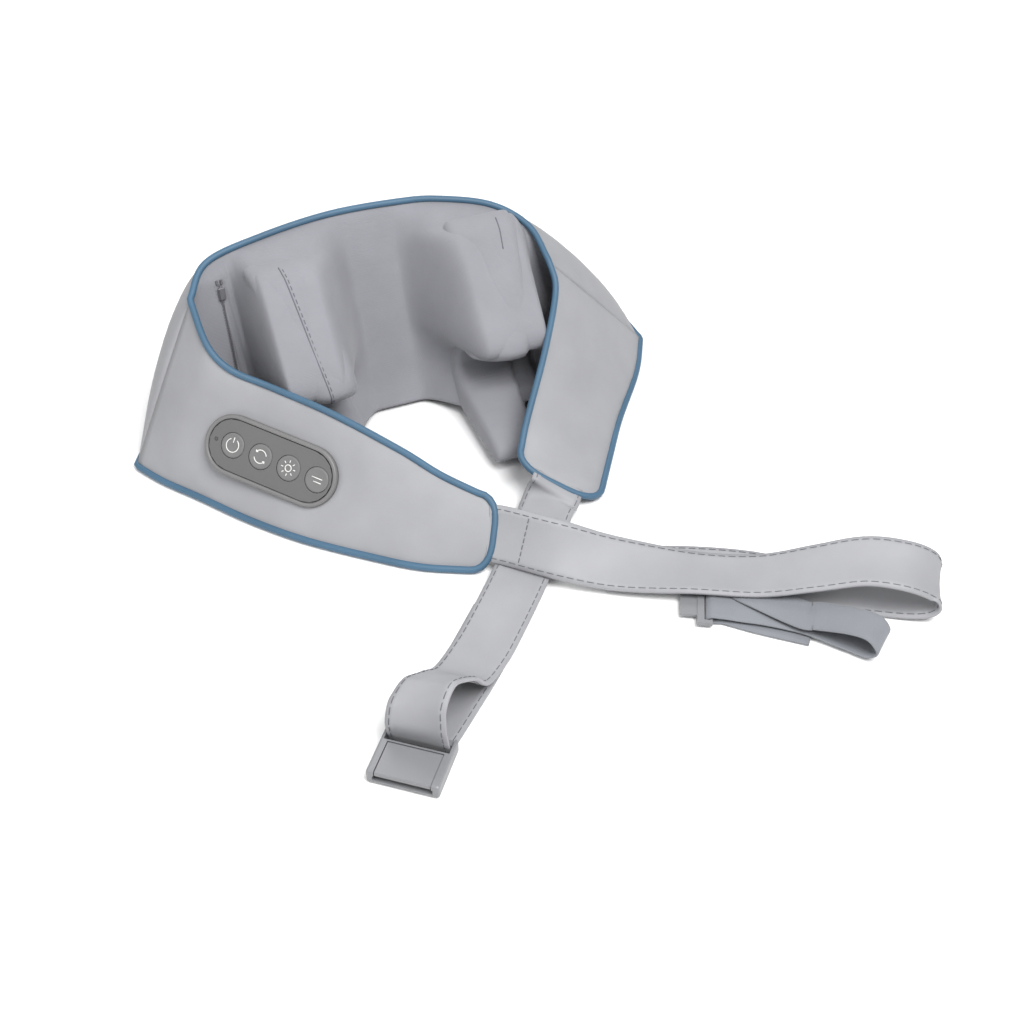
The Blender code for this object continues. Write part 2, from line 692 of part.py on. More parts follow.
def make_hand_soft(side, label):
    """The foam C of a hand, with its slot for the frame, and the stretch cover over it."""
    pad = link(bpy.data.objects.new(f"hand_pad_{label}", hand_body(side, PAD_INSET, 6 * MM)), foam())
    clearance = 0.5 * MM
    slots = [
        capsule(f"pad_slot_{label}_{k}", a, b, r + clearance, *side_span(side, near - clearance, far + clearance))
        for k, (a, b, r, near, far) in enumerate(frame_bars())
    ]
    cut(pad, [hide_cutter(s) for s in slots])
    cover = link(bpy.data.objects.new(f"hand_cover_{label}", hand_body(side, 0, 8.5 * MM, False)), stretch_fabric())
    skin = cover.modifiers.new("skin", "SOLIDIFY")
    skin.thickness = 1.2 * MM
    skin.offset = -1
    for obj in (pad, cover):
        obj.parent = hand_pivot(side, label)
        obj.matrix_parent_inverse = obj.parent.matrix_world.inverted()


def make_drive():
    """The cross shaft with its worm wheel and inclined hubs, the worm, the motor and the gearbox."""
    centre = Vector((0, SHAFT_Y, SHAFT_Z))
    cylinder("cross_shaft", centre, (1, 0, 0), SHAFT_R, SHAFT_HALF, steel(), sides=24)
    teeth = []
    for k in range(WHEEL_TEETH * 4):
        angle = 2 * math.pi * k / (WHEEL_TEETH * 4)
        radius = WHEEL_R if k % 4 < 2 else WHEEL_R - 1.4 * MM
        teeth.append((radius * math.cos(angle), radius * math.sin(angle)))
    brass = material("brass", (0.72, 0.52, 0.2), 0.35, 1.0)
    wheel = flat_outline("worm_wheel", teeth, WHEEL_HALF, brass, [circle(SHAFT_R + GAP, count=24)])
    wheel.rotation_euler = (0, math.pi / 2, 0)
    wheel.location = centre
    for side, label in ((-1, "left"), (1, "right")):
        place = centre + Vector((side * HAND_X, 0, 0))
        hub = cylinder(f"wobble_hub_{label}", place, hub_axis(side), HUB_R, HUB_HALF, steel())
        bore = cylinder(f"hub_bore_{label}", place, (1, 0, 0), SHAFT_R + GAP, 30 * MM, None, CUTTERS, 24)
        cut(hub, [hide_cutter(bore)])
        ring = cylinder(f"hand_bearing_{label}", place, hub_axis(side), BEARING_R, 5 * MM, steel())
        hole = cylinder(f"bearing_bore_{label}", place, hub_axis(side), HUB_R + GAP, 20 * MM, None, CUTTERS)
        cut(ring, [hide_cutter(hole)])
    place = Vector((0, WORM_Y, SHAFT_Z))
    worm = cylinder("worm", place, (0, 0, 1), WORM_R, WORM_HALF, steel(), sides=20)
    stub = cylinder("worm_stub", place - Vector((0, 0, 17 * MM)), (0, 0, 1), 2 * MM, 7 * MM, None, CUTTERS, 12)
    cut(worm, [hide_cutter(stub)], "UNION")
    middle = (MOTOR_BASE_Z + MOTOR_TOP_Z) / 2
    can = cylinder(
        "motor", (0, WORM_Y, middle), (0, 0, 1), MOTOR_R, (MOTOR_TOP_Z - MOTOR_BASE_Z) / 2, steel()
    )
    bevel(can, 1.5 * MM, 1)
    bore = cylinder("motor_bore", (0, WORM_Y, MOTOR_TOP_Z), (0, 0, 1), 2.6 * MM, 6 * MM, None, CUTTERS, 12)
    cut(can, [hide_cutter(bore)])
    for side, label in ((-1, "left"), (1, "right")):
        make_gearbox_half(side, label)


def make_gearbox_half(side, label):
    """One half of the gearbox, open towards the other."""
    low = Vector((GAP / 2, 11.6 * MM, SHAFT_Z - 20 * MM))
    high = Vector((13 * MM, 56 * MM, SHAFT_Z + 16.5 * MM))
    wall = 1.8 * MM
    shell_low, shell_high = low.copy(), high.copy()
    shell_low.x, shell_high.x = sorted((side * low.x, side * high.x))
    half = box(f"gearbox_half_{label}", shell_low, shell_high, black_plastic())
    hollow_low, hollow_high = low + Vector((-5 * MM, wall, wall)), high - Vector((wall, wall, wall))
    ends = sorted((side * hollow_low.x, side * hollow_high.x))
    hollow = box(
        f"gearbox_hollow_{label}", (ends[0], hollow_low.y, hollow_low.z), (ends[1], hollow_high.y, hollow_high.z),
        None, CUTTERS,
    )
    shaft = cylinder(
        f"gearbox_bore_{label}", (side * 10 * MM, SHAFT_Y, SHAFT_Z), (1, 0, 0), SHAFT_R + 0.6 * MM, 8 * MM,
        None, CUTTERS, 24,
    )
    worm = cylinder(
        f"gearbox_neck_{label}", (0, WORM_Y, low.z), (0, 0, 1), 3 * MM, 6 * MM, None, CUTTERS, 16
    )
    cut(half, [hide_cutter(c) for c in (hollow, shaft, worm)])


def make_chassis():
    """The moulded plate behind the drive, with its bearing towers and pin guides."""
    plate = box("chassis", (-62 * MM, 57 * MM, 2.6 * MM), (62 * MM, 60 * MM, 80 * MM), black_plastic())
    towers, holes = [], []
    for side, label in ((-1, "left"), (1, "right")):
        inner, outer = sorted((side * 38 * MM, side * 44 * MM))
        towers.append(box(
            f"tower_{label}", (inner, 18 * MM, 38 * MM), (outer, 58 * MM, 80 * MM), None, CUTTERS
        ))
        near, far = sorted((side * 43 * MM, side * 88 * MM))
        towers.append(box(
            f"pin_guide_{label}", (near, 46 * MM, 40 * MM), (far, 49 * MM, 55 * MM), None, CUTTERS
        ))
        holes.append(cylinder(
            f"tower_bore_{label}", (side * 41 * MM, SHAFT_Y, SHAFT_Z), (1, 0, 0), 8.3 * MM, 8 * MM, None, CUTTERS
        ))
        near, far = sorted((side * 66 * MM, side * 84 * MM))
        holes.append(box(
            f"pin_slot_{label}", (near, 44 * MM, 46.7 * MM), (far, 51 * MM, 53.3 * MM), None, CUTTERS
        ))
        bearing = cylinder(
            f"shaft_bearing_{label}", (side * 41 * MM, SHAFT_Y, SHAFT_Z), (1, 0, 0), 8 * MM, 3 * MM, steel()
        )
        bore = cylinder(
            f"shaft_bearing_bore_{label}", (side * 41 * MM, SHAFT_Y, SHAFT_Z), (1, 0, 0), SHAFT_R + GAP, 8 * MM,
            None, CUTTERS, 24,
        )
        cut(bearing, [hide_cutter(bore)])
    holes.append(cylinder(
        "motor_window", (0, WORM_Y, 27 * MM), (0, 0, 1), MOTOR_R + 1 * MM, 26 * MM, None, CUTTERS
    ))
    cut(plate, [hide_cutter(t) for t in towers], "UNION")
    cut(plate, [hide_cutter(h) for h in holes])


def make_electrics():
    """Two battery cells, the main board and the charging port. Returns the port's cutter."""
    for side, label in ((-1, "left"), (1, "right")):
        cell = cylinder(
            f"battery_cell_{label}", (side * 52 * MM, 42 * MM, 15 * MM), (1, 0, 0), 9.2 * MM, 32.5 * MM,
            material("battery", (0.05, 0.2, 0.35), 0.4), sides=16,
        )
        bevel(cell, 0.8 * MM, 1)
    board = material("circuit_board", (0.02, 0.2, 0.08), 0.5)
    box("main_board", (-60 * MM, 60.4 * MM, 12 * MM), (-20 * MM, 62 * MM, 48 * MM), board)
    place = Vector((44 * MM, 0, 24 * MM))
    port = box("charging_port", (place.x - 6 * MM, 70 * MM, place.z - 4 * MM),
               (place.x + 6 * MM, 91.5 * MM, place.z + 4 * MM), black_plastic())
    bevel(port, 1.2 * MM, 1)
    socket = box("port_socket", (place.x - 4.5 * MM, 80 * MM, place.z - 1.6 * MM),
                 (place.x + 4.5 * MM, 100 * MM, place.z + 1.6 * MM), None, CUTTERS)
    cut(port, [hide_cutter(socket)])
    opening = box("port_opening", (place.x - 6.4 * MM, 60 * MM, place.z - 4.4 * MM),
                  (place.x + 6.4 * MM, 110 * MM, place.z + 4.4 * MM), None, CUTTERS)
    return hide_cutter(opening)


def panel_matrix():
    """Where the control panel sits on the left arm's outer surface."""
    top, bottom = np.array(LEFT_ARM_TOP) * MM, np.array(LEFT_ARM_BOTTOM) * MM
    middle = (top + bottom) / 2
    along = Vector(middle[4] - middle[2]).normalized()
    across = Vector(top[3] - bottom[3])
    out = along.cross(across).normalized()
    across = out.cross(along)
    origin = Vector(middle[3]) + along * PANEL_ALONG + across * PANEL_ACROSS + out * 0.8 * MM
    return Matrix((along, across, out)).transposed().to_4x4(), origin


def place_on_panel(obj, x=0.0, z=0.0):
    """Moves an object modelled flat to its place on the panel."""
    turn, origin = panel_matrix()
    obj.matrix_world = Matrix.Translation(origin) @ turn @ Matrix.Translation((x, 0, z))
    return obj


def stack(name, outline, low, high, mat, holes=(), collection=PARTS):
    """A flat piece of the panel between two heights."""
    piece = flat_outline(name, outline, (high - low) / 2, mat, holes, collection)
    return place_on_panel(piece, z=(high + low) / 2)


def make_panel():
    """The control panel. Returns the cutters for its seat in the arm."""
    bezel_mat = material("bezel_plastic", (0.29, 0.285, 0.285), 0.45)
    plate_mat = material("panel_plastic", (0.22, 0.22, 0.22), 0.45)
    inner_l, inner_w = PANEL_LENGTH - 6.4 * MM, PANEL_WIDTH - 6.4 * MM
    bezel = stack(
        "control_bezel", stadium(PANEL_LENGTH, PANEL_WIDTH), 0.4 * MM, 4.2 * MM, bezel_mat, [stadium(inner_l, inner_w)]
    )
    bevel(bezel, 0.9 * MM, 1)
    tray_l, tray_w = inner_l - 0.8 * MM, inner_w - 0.8 * MM
    tray = stack("control_tray", stadium(tray_l, tray_w), -6 * MM, 1 * MM, black_plastic())
    pocket = stack(
        "tray_pocket", stadium(tray_l - 3 * MM, tray_w - 3 * MM), -4.8 * MM, 3 * MM, None, (), CUTTERS
    )
    cut(tray, [hide_cutter(pocket)])
    stack(
        "control_board", stadium(tray_l - 3.8 * MM, tray_w - 3.8 * MM), -4.4 * MM, -3.2 * MM,
        material("circuit_board", (0.02, 0.2, 0.08), 0.5),
    )
    places = [FIRST_BUTTON + k * BUTTON_PITCH for k in range(len(BUTTONS))]
    holes = [circle(BUTTON_R + 0.35 * MM, (x, 0)) for x in places]
    lamp = (-43.5 * MM, 0)
    holes.append(circle(1.5 * MM, lamp, 8))
    stack("control_plate", stadium(tray_l, tray_w), 1.3 * MM, 3.4 * MM, plate_mat, holes)
    stack(
        "indicator_lens", circle(1.2 * MM, lamp, 8), 1.2 * MM, 3.3 * MM, material("lens", (0.08, 0.08, 0.09), 0.2)
    )
    for name, x in zip(BUTTONS, places):
        make_button(name, x)
    seats = [
        stack("panel_seat", stadium(tray_l + 0.9 * MM, tray_w + 0.9 * MM), -6.4 * MM, 12 * MM, None, (), CUTTERS),
        stack("bezel_seat", stadium(PANEL_LENGTH + MM, PANEL_WIDTH + MM), 0.1 * MM, 12 * MM, None, (), CUTTERS),
    ]
    return [hide_cutter(seat) for seat in seats]


def make_button(name, x):
    """A round button turned from its profile, with a skirt that the plate holds in."""
    profile = [
        (0, 3.9), (4.5, 3.8), (7.6, 3.55), (8.6, 3.2), (8.9, 2.7), (8.9, 0.9), (8.9, -0.8), (0, -0.8),
    ]
    mesh = bpy.data.meshes.new(name)
    mesh.from_pydata([(r * MM, 0, z * MM) for r, z in profile], [(k, k + 1) for k in range(len(profile) - 1)], [])
    button = link(bpy.data.objects.new(name, mesh), material("button_rubber", (0.28, 0.28, 0.28), 0.5))
    spin = button.modifiers.new("turn", "SCREW")
    spin.steps = spin.render_steps = 20
    spin.use_merge_vertices = True
    spin.merge_threshold = 0.00001
    place_on_panel(button, x=x)


def with_midpoints(rows):
    """Rows with one more between each two, on the smooth curve through them."""
    padded = np.vstack([2 * rows[0] - rows[1], rows, 2 * rows[-1] - rows[-2]])
    result = []
    for i in range(1, len(padded) - 2):
        before, here, there, after = padded[i - 1: i + 3]
        result += [here, (9 * (here + there) - before - after) / 16]
    return np.array(result + [rows[-1]])


def ribbon(name, route, width, thickness, mat):
    """A flat band along a route of (x, y, z, direction across) stations in millimetres."""
    stations = with_midpoints(np.array(route, float))
    centres, spans = stations[:, :3] * MM, stations[:, 3:]
    tangents = np.gradient(centres, axis=0)
    outer, inner = [], []
    for centre, span, tangent in zip(centres, spans, tangents):
        face = unit(np.cross(tangent, span))
        across = unit(np.cross(face, tangent))
        edges = [centre + across * width * share for share in (-0.5, 0, 0.5)]
        outer.append([e + face * thickness / 2 for e in edges])
        inner.append([e - face * thickness / 2 for e in edges])
    return slab(name, np.array(outer), np.array(inner), mat)


def strap_start(side):
    """First station of a strap, just past the rounded tip of its arm."""
    top, bottom = LEFT_ARM_TOP, LEFT_ARM_BOTTOM
    if side == "right":
        top, bottom = RIGHT_ARM_TOP, RIGHT_ARM_BOTTOM
    top, bottom = resample(top, ARM_ROWS), resample(bottom, ARM_ROWS)
    place = (top[-1] + bottom[-1]) / 2 + tip_direction(top, bottom) * STRAP_START
    return (*(place / MM), *unit(top[-1] - bottom[-1]))


def make_straps():
    """The two strap bands and the folded elastic webbing."""
    ribbon("left_strap", [strap_start("left"), *LEFT_STRAP], STRAP_W, STRAP_T, leather())
    ribbon("right_strap", [strap_start("right"), *RIGHT_STRAP], STRAP_W, STRAP_T, leather())
    ribbon("elastic_webbing", WEBBING, WEBBING_W, WEBBING_T, material("webbing", (0.33, 0.35, 0.38), 0.9))


def turned(obj, origin, x_axis):
    """Moves an object modelled at the origin to a place on the floor plane, x along the given direction."""
    x_axis = Vector((x_axis[0], x_axis[1], 0)).normalized()
    y_axis = Vector((0, 0, 1)).cross(x_axis)
    turn = Matrix((x_axis, y_axis, Vector((0, 0, 1)))).transposed().to_4x4()
    obj.matrix_world = Matrix.Translation(origin) @ turn
    return obj


def make_buckle():
    """The buckle's female half on the right strap."""
    place = Vector((BUCKLE_MOUTH[0] * MM, BUCKLE_MOUTH[1] * MM, BUCKLE_FLOOR))
    half = BUCKLE_W / 2
    mat = material("buckle_plastic", (0.37, 0.37, 0.385), 0.35)
    body = box("buckle_body", (-half, 0, 0), (half, BUCKLE_DEPTH, BUCKLE_H), mat)
    tools = {
        "buckle_mouth": ((-half + 4 * MM, -5 * MM, 2.6 * MM), (half - 4 * MM, 21 * MM, 6.4 * MM)),
        "buckle_top": ((-half + 4.8 * MM, -5 * MM, 6 * MM), (half - 4.8 * MM, 24.5 * MM, 20 * MM)),
        "strap_slot": ((-half + 2.2 * MM, 25.6 * MM, -5 * MM), (half - 2.2 * MM, 33.4 * MM, 20 * MM)),
        "bar_under": ((-half + 2.2 * MM, 31 * MM, -5 * MM), (half - 2.2 * MM, 50 * MM, 4.6 * MM)),
        "bar_over": ((-half + 2.2 * MM, 32 * MM, 7.4 * MM), (half - 2.2 * MM, 50 * MM, 20 * MM)),
    }
    pieces = [turned(hide_cutter(box(n, low, high, None, CUTTERS)), place, BUCKLE_ACROSS) for n, (low, high) in tools.items()]
    bevel(turned(body, place, BUCKLE_ACROSS), 1.6 * MM)
    cut(body, pieces)
    low, high = tools["buckle_top"]
    cover = box(
        "buckle_cover", (low[0] + GAP, 0.4 * MM, 6 * MM + GAP), (high[0] - GAP, 24.5 * MM - GAP, BUCKLE_H - 0.2 * MM), mat
    )
    bevel(turned(cover, place, BUCKLE_ACROSS), 0.5 * MM, 1)


def make_insert():
    """The buckle's male half, whose bar the webbing folds round."""
    bar = Vector([v * MM for v in INSERT_BAR])
    half = WEBBING_W / 2 + 3.5 * MM
    mat = material("buckle_plastic", (0.37, 0.37, 0.385), 0.35)
    plate = box("buckle_insert", (-0.9 * MM, -half, -1.6 * MM), (9 * MM, half, 1.6 * MM), mat)
    slot = box("insert_slot", (0.9 * MM, 2.8 * MM - half, -9 * MM), (4.4 * MM, half - 2.8 * MM, 9 * MM), None, CUTTERS)
    thin_low, thin_high = (-5 * MM, 2.8 * MM - half), (2 * MM, half - 2.8 * MM)
    thin = [
        box("insert_thin_top", (*thin_low, 0.9 * MM), (*thin_high, 9 * MM), None, CUTTERS),
        box("insert_thin_bottom", (*thin_low, -9 * MM), (*thin_high, -0.9 * MM), None, CUTTERS),
    ]
    tongue = box("insert_tongue", (8 * MM, 7 * MM - half, -1 * MM), (20 * MM, half - 7 * MM, 1 * MM), None, CUTTERS)
    for piece in (plate, slot, tongue, *thin):
        turned(piece, bar, INSERT_AWAY)
    cut(plate, [hide_cutter(tongue)], "UNION")
    cut(plate, [hide_cutter(c) for c in (slot, *thin)])


def make_zipper():
    """The zipper's tape and slider, lying on the left side skin."""
    top, foot = (Vector(side_skin_point(ZIPPER_X, share)) for share in (ZIPPER_TOP, ZIPPER_FOOT))
    along = (foot - top).normalized()
    across = Vector(side_skin_point(ZIPPER_X + MM, ZIPPER_TOP) - side_skin_point(ZIPPER_X - MM, ZIPPER_TOP))
    across = (across - along * across.dot(along)).normalized()
    out = along.cross(across)
    turn = Matrix((along, across, out)).transposed().to_4x4()
    place = Matrix.Translation(top + out * ZIPPER_LIFT) @ turn
    metal = material("zipper_metal", (0.45, 0.45, 0.47), 0.35, 0.8)
    length = (foot - top).length
    tape = box("zipper_tape", (0, -ZIPPER_W / 2, 0), (length, ZIPPER_W / 2, ZIPPER_T), stretch_fabric())
    low = ZIPPER_T + GAP
    slider = box("zipper_slider", (0, -2.5 * MM, low), (9 * MM, 2.5 * MM, low + 2.4 * MM), metal)
    tape.matrix_world = place
    slider.matrix_world = place @ Matrix.Translation((2 * MM, 0, 0))
    bevel(slider, 0.6 * MM, 1)


def shade_round_pieces():
    """Smooth shading, with sharp edges kept, on every part."""
    for obj in bpy.data.collections[PARTS].objects:
        if obj.type == "MESH":
            obj.data.shade_smooth()
            obj.data.set_sharp_from_angle(angle=math.radians(SHARP_ANGLE))


def main():
    reset()
    seats = make_panel()
    make_arm("left", seats)
    make_arm("right", [])
    make_back([make_electrics()])
    make_piping()
    make_skins()
    make_base()
    make_drive()
    make_chassis()
    for side, label in ((-1, "left"), (1, "right")):
        make_hand_frame(side, label)
        make_hand_soft(side, label)
    make_zipper()
    make_straps()
    make_buckle()
    make_insert()
    shade_round_pieces()


main()
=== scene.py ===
import json
import math

import bmesh
import bpy
import numpy as np
from mathutils import Matrix, Vector
from mathutils.bvhtree import BVHTree


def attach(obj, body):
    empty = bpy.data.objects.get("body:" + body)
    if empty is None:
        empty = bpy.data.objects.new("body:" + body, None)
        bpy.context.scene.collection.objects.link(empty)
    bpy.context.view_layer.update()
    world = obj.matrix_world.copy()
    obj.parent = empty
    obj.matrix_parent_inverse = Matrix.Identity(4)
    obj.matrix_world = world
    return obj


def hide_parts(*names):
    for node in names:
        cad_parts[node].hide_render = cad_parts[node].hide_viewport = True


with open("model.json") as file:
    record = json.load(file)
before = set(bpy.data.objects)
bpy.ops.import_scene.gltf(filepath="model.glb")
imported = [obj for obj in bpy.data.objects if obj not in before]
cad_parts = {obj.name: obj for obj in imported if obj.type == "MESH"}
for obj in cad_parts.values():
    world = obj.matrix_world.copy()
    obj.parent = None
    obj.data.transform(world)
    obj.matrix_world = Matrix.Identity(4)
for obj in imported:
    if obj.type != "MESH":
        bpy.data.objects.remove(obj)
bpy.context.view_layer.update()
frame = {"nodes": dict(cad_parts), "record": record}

MM = 0.001

# Seams of the collar, in millimetres: upper and lower edge of each arm and of the back.
LEFT_ARM_TOP = [
    (-140, -6, 118), (-138, -38, 100), (-127, -54, 87), (-105, -70, 78), (-72, -106, 71), (-36, -145, 57),
    (-17, -168, 48), (3, -188, 41),
]
LEFT_ARM_BOTTOM = [
    (-201, -26, 3), (-187, -50, 3), (-166, -78, 3), (-139, -115, 3), (-109, -149, 3), (-73, -181, 3),
    (-45, -203, 3), (-16, -218, 3),
]
RIGHT_ARM_TOP = [(119, -35, 105), (118, -50, 90), (94, -88, 68), (62, -131, 44), (50, -149, 34)]
RIGHT_ARM_BOTTOM = [(208, -19, 3), (185, -59, 3), (147, -109, 4), (120, -149, 5), (100, -179, 5)]
BACK_TOP = [
    (-140, -6, 118), (-122, 16, 131), (-81, 24, 138), (-26, 33, 140), (27, 31, 140),
    (56, 25, 139), (93, 15, 131.5), (115, -5, 119.5), (119, -35, 105),
]
BACK_BOTTOM = [
    (-201, -26, 3), (-183, 5, 3), (-160, 36, 3), (-120, 62, 3), (-60, 76, 3), (0, 80, 3),
    (60, 76, 3), (120, 66, 3), (170, 50, 3), (203, 24, 3), (208, -19, 3),
]
CAD_ROWS = 10
ARM_ROWS, BACK_ROWS, COLUMNS, TIP_ROWS = 46, 70, 19, 9
BACK_BULGE = 24 * MM
BULGE_FULLNESS = 0.55
TIP_REACH = 14 * MM
PIPING_R = 2.4 * MM
SEAM_INSET = 1.9 * MM
ARM_DEPTH = 11.5 * MM
BACK_DEPTH = 6.5 * MM
EDGE_DEPTH = 1.6 * MM

# Hands: a C in the YZ plane, in millimetres, and how it leans and narrows.
HAND_RING = [
    (2, 129), (-12, 130), (-24, 127), (-44, 108), (-64, 88), (-79, 74), (-84, 66), (-81, 59), (-72, 56),
    (-58, 55), (-48, 52), (-43, 46), (-42, 38), (-46, 30), (-56, 27),
    (-80, 26), (-108, 24), (-126, 20), (-132, 14), (-128, 8), (-116, 5), (-60, 5), (0, 5), (2, 30), (2, 80),
]
HAND_HALF = 26.5 * MM
HAND_X = 75 * MM
HAND_FRONT_Y = 84 * MM
HAND_TOP_Z = 130 * MM
HAND_LEAN_FRONT = 7 * MM
HAND_LEAN_FOOT = 10 * MM
HAND_TAPER = 0.25

# Straps and webbing: (x, y, z, direction across), in millimetres.
STRAP_W, STRAP_T, STRAP_START = 39 * MM, 2.8 * MM, 19.5 * MM
WEBBING_W, WEBBING_T = 25 * MM, 1.8 * MM
LEFT_STRAP = [
    (36, -239, 23, .27, .64, .72), (71, -258, 14, .36, .82, .44), (116, -282, 10.8, .45, .89, .03),
    (156, -302, 11, .48, .88, .03), (186, -320, 23, .5, .86, .14), (214, -334, 32, .5, .84, .21),
    (235, -348, 33, .51, .83, .24), (253, -355, 24, .53, .81, .24), (257, -358, 14.7, .53, .82, .19),
    (250, -355, 6.5, .53, .84, .1), (228, -341, 1.9, .52, .86, 0), (187, -315, 1.9, .48, .87, 0),
    (159, -289, 1.9, .48, .87, 0), (111, -264, 1.9, .45, .89, 0), (67, -251, 1.9, .47, .88, 0),
]
RIGHT_STRAP = [
    (54, -187, 10, -.7, .71, 0), (16, -235, 6, -.73, .68, 0), (-22, -278, 5.8, -.67, .74, 0),
    (-38, -294, 5.7, -.67, .74, 0), (-55, -310, 10, -.67, .74, -.1), (-67, -321, 26, -.63, .7, -.32),
    (-80, -332, 40, -.64, .68, -.35), (-87, -338, 43, -.66, .65, -.35), (-95, -346, 38, -.7, .64, -.3),
    (-98, -350, 26, -.75, .63, -.16), (-97, -349, 15, -.782, .622, 0), (-96, -348, 9, -.782, .622, 0),
    (-95, -347, 4.6, -.782, .622, 0), (-91, -342, 1.9, -.782, .622, 0), (-65, -318, 1.9, -.68, .73, 0),
    (-43, -297, 1.9, -.67, .74, 0), (-10, -262, 1.9, -.68, .73, 0),
]
WEBBING = [
    (169, -352, 1.3, .46, .89, 0), (144, -331, 1.3, .46, .89, 0), (126.5, -314.4, 1.3, .463, .887, 0),
    (121.6, -311.9, 1.3, .463, .887, 0), (118, -310, 1.3, .463, .887, 0), (115.3, -308.6, 3.7, .463, .887, 0),
    (118, -310, 6.1, .463, .887, 0), (121.6, -311.9, 6.1, .463, .887, 0), (126.5, -314.4, 5.8, .463, .887, 0),
    (136, -320, 4.9, .47, .88, 0), (150, -329, 4.6, .52, .85, 0), (170, -345, 3.8, .57, .82, 0),
    (188, -366, 2.9, .7, .71, 0), (197, -378, 3.8, .78, .62, 0), (201, -382.5, 9.5, .78, .62, 0),
    (197, -376, 17, .78, .62, 0), (188, -365, 16.5, .7, .71, 0), (174, -349, 11, .56, .83, 0),
    (166, -341, 8.6, .54, .84, 0), (143, -304, 6.9, .46, .89, 0),
]

PANEL_LENGTH, PANEL_WIDTH = 104 * MM, 43 * MM
PANEL_ALONG, PANEL_ACROSS, PANEL_LIFT = 10.5 * MM, -1 * MM, 0.8 * MM
ZIPPER_X, ZIPPER_TOP, ZIPPER_FOOT = -116.5 * MM, 0.96, 0.3
SKIN_FOOT_Y, SKIN_FOOT_Z = -30 * MM, 3.2 * MM


# ---------------------------------------------------------------- materials

def shader(name, colour, roughness=0.6, metallic=0.0, grain=900.0, bump=0.12, spread=0.06, weave=0.0, sheen=0.0):
    """A material whose tone varies a little and whose surface has grain, and a weave where asked."""
    mat = bpy.data.materials.new(name)
    mat.use_nodes = True
    nodes, links = mat.node_tree.nodes, mat.node_tree.links
    face = nodes["Principled BSDF"]
    face.inputs["Roughness"].default_value = roughness
    face.inputs["Metallic"].default_value = metallic
    face.inputs["Sheen Weight"].default_value = sheen
    place = nodes.new("ShaderNodeTexCoord")
    cloud = nodes.new("ShaderNodeTexNoise")
    cloud.inputs["Scale"].default_value = 26.0
    cloud.inputs["Detail"].default_value = 6.0
    ramp = nodes.new("ShaderNodeValToRGB")
    ramp.color_ramp.elements[0].position = 0.3
    ramp.color_ramp.elements[1].position = 0.7
    ramp.color_ramp.elements[0].color = (*[c * (1 - spread) for c in colour], 1)
    ramp.color_ramp.elements[1].color = (*[min(1, c * (1 + spread)) for c in colour], 1)
    links.new(place.outputs["Object"], cloud.inputs["Vector"])
    links.new(cloud.outputs["Fac"], ramp.inputs["Fac"])
    links.new(ramp.outputs["Color"], face.inputs["Base Color"])
    fine = nodes.new("ShaderNodeTexNoise")
    fine.inputs["Scale"].default_value = grain
    fine.inputs["Detail"].default_value = 4.0
    links.new(place.outputs["Object"], fine.inputs["Vector"])
    relief = nodes.new("ShaderNodeBump")
    relief.inputs["Strength"].default_value = bump
    relief.inputs["Distance"].default_value = 0.4 * MM
    links.new(fine.outputs["Fac"], relief.inputs["Height"])
    last = relief
    if weave:
        for direction in ("X", "Y", "Z"):
            thread = nodes.new("ShaderNodeTexWave")
            thread.bands_direction = direction
            thread.inputs["Scale"].default_value = weave
            thread.inputs["Distortion"].default_value = 0.6
            links.new(place.outputs["Object"], thread.inputs["Vector"])
            rib = nodes.new("ShaderNodeBump")
            rib.inputs["Strength"].default_value = 0.16
            rib.inputs["Distance"].default_value = 0.3 * MM
            links.new(thread.outputs["Fac"], rib.inputs["Height"])
            links.new(last.outputs["Normal"], rib.inputs["Normal"])
            last = rib
    links.new(last.outputs["Normal"], face.inputs["Normal"])
    return mat


MATERIALS = {
    "grey_leather": shader("grey_leather", (0.285, 0.287, 0.302), 0.58, grain=1400, bump=0.2, spread=0.05),
    "stretch_fabric": shader("stretch_fabric", (0.232, 0.234, 0.256), 0.8, weave=420, sheen=0.15),
    "foam": shader("foam", (0.6, 0.58, 0.52), 0.9, grain=500, bump=0.5),
    "grey_plastic": shader("grey_plastic", (0.3, 0.3, 0.31), 0.5, bump=0.06),
    "black_plastic": shader("black_plastic", (0.03, 0.03, 0.032), 0.5, bump=0.08),
    "steel": shader("steel", (0.55, 0.55, 0.56), 0.3, 1.0, grain=300, bump=0.05),
    "piping": shader("piping", (0.05, 0.115, 0.185), 0.55, grain=1600, bump=0.15, spread=0.1),
    "circuit_board": shader("circuit_board", (0.03, 0.16, 0.07), 0.5, bump=0.1),
    "battery": shader("battery", (0.08, 0.2, 0.4), 0.4, bump=0.05),
    "brass": shader("brass", (0.6, 0.43, 0.16), 0.35, 1.0, bump=0.05),
    "bezel_plastic": shader("bezel_plastic", (0.16, 0.157, 0.157), 0.42, bump=0.08, spread=0.03),
    "panel_plastic": shader("panel_plastic", (0.11, 0.11, 0.11), 0.48, bump=0.08, spread=0.03),
    "lens": shader("lens", (0.05, 0.05, 0.055), 0.2, bump=0.02),
    "button_rubber": shader("button_rubber", (0.145, 0.145, 0.145), 0.5, bump=0.1, spread=0.03),
    "webbing": shader("webbing", (0.19, 0.2, 0.22), 0.85, grain=500, bump=0.5, weave=260, sheen=0.2),
    "buckle_plastic": shader("buckle_plastic", (0.2, 0.203, 0.214), 0.36, bump=0.05, spread=0.03),
    "zipper_metal": shader("zipper_metal", (0.3, 0.3, 0.32), 0.35, 0.85, bump=0.05),
}
THREAD = shader("thread", (0.12, 0.125, 0.145), 0.8, grain=3000, bump=0.3)
ICON = shader("icon_print", (0.72, 0.72, 0.7), 0.5, bump=0.02, spread=0.02)

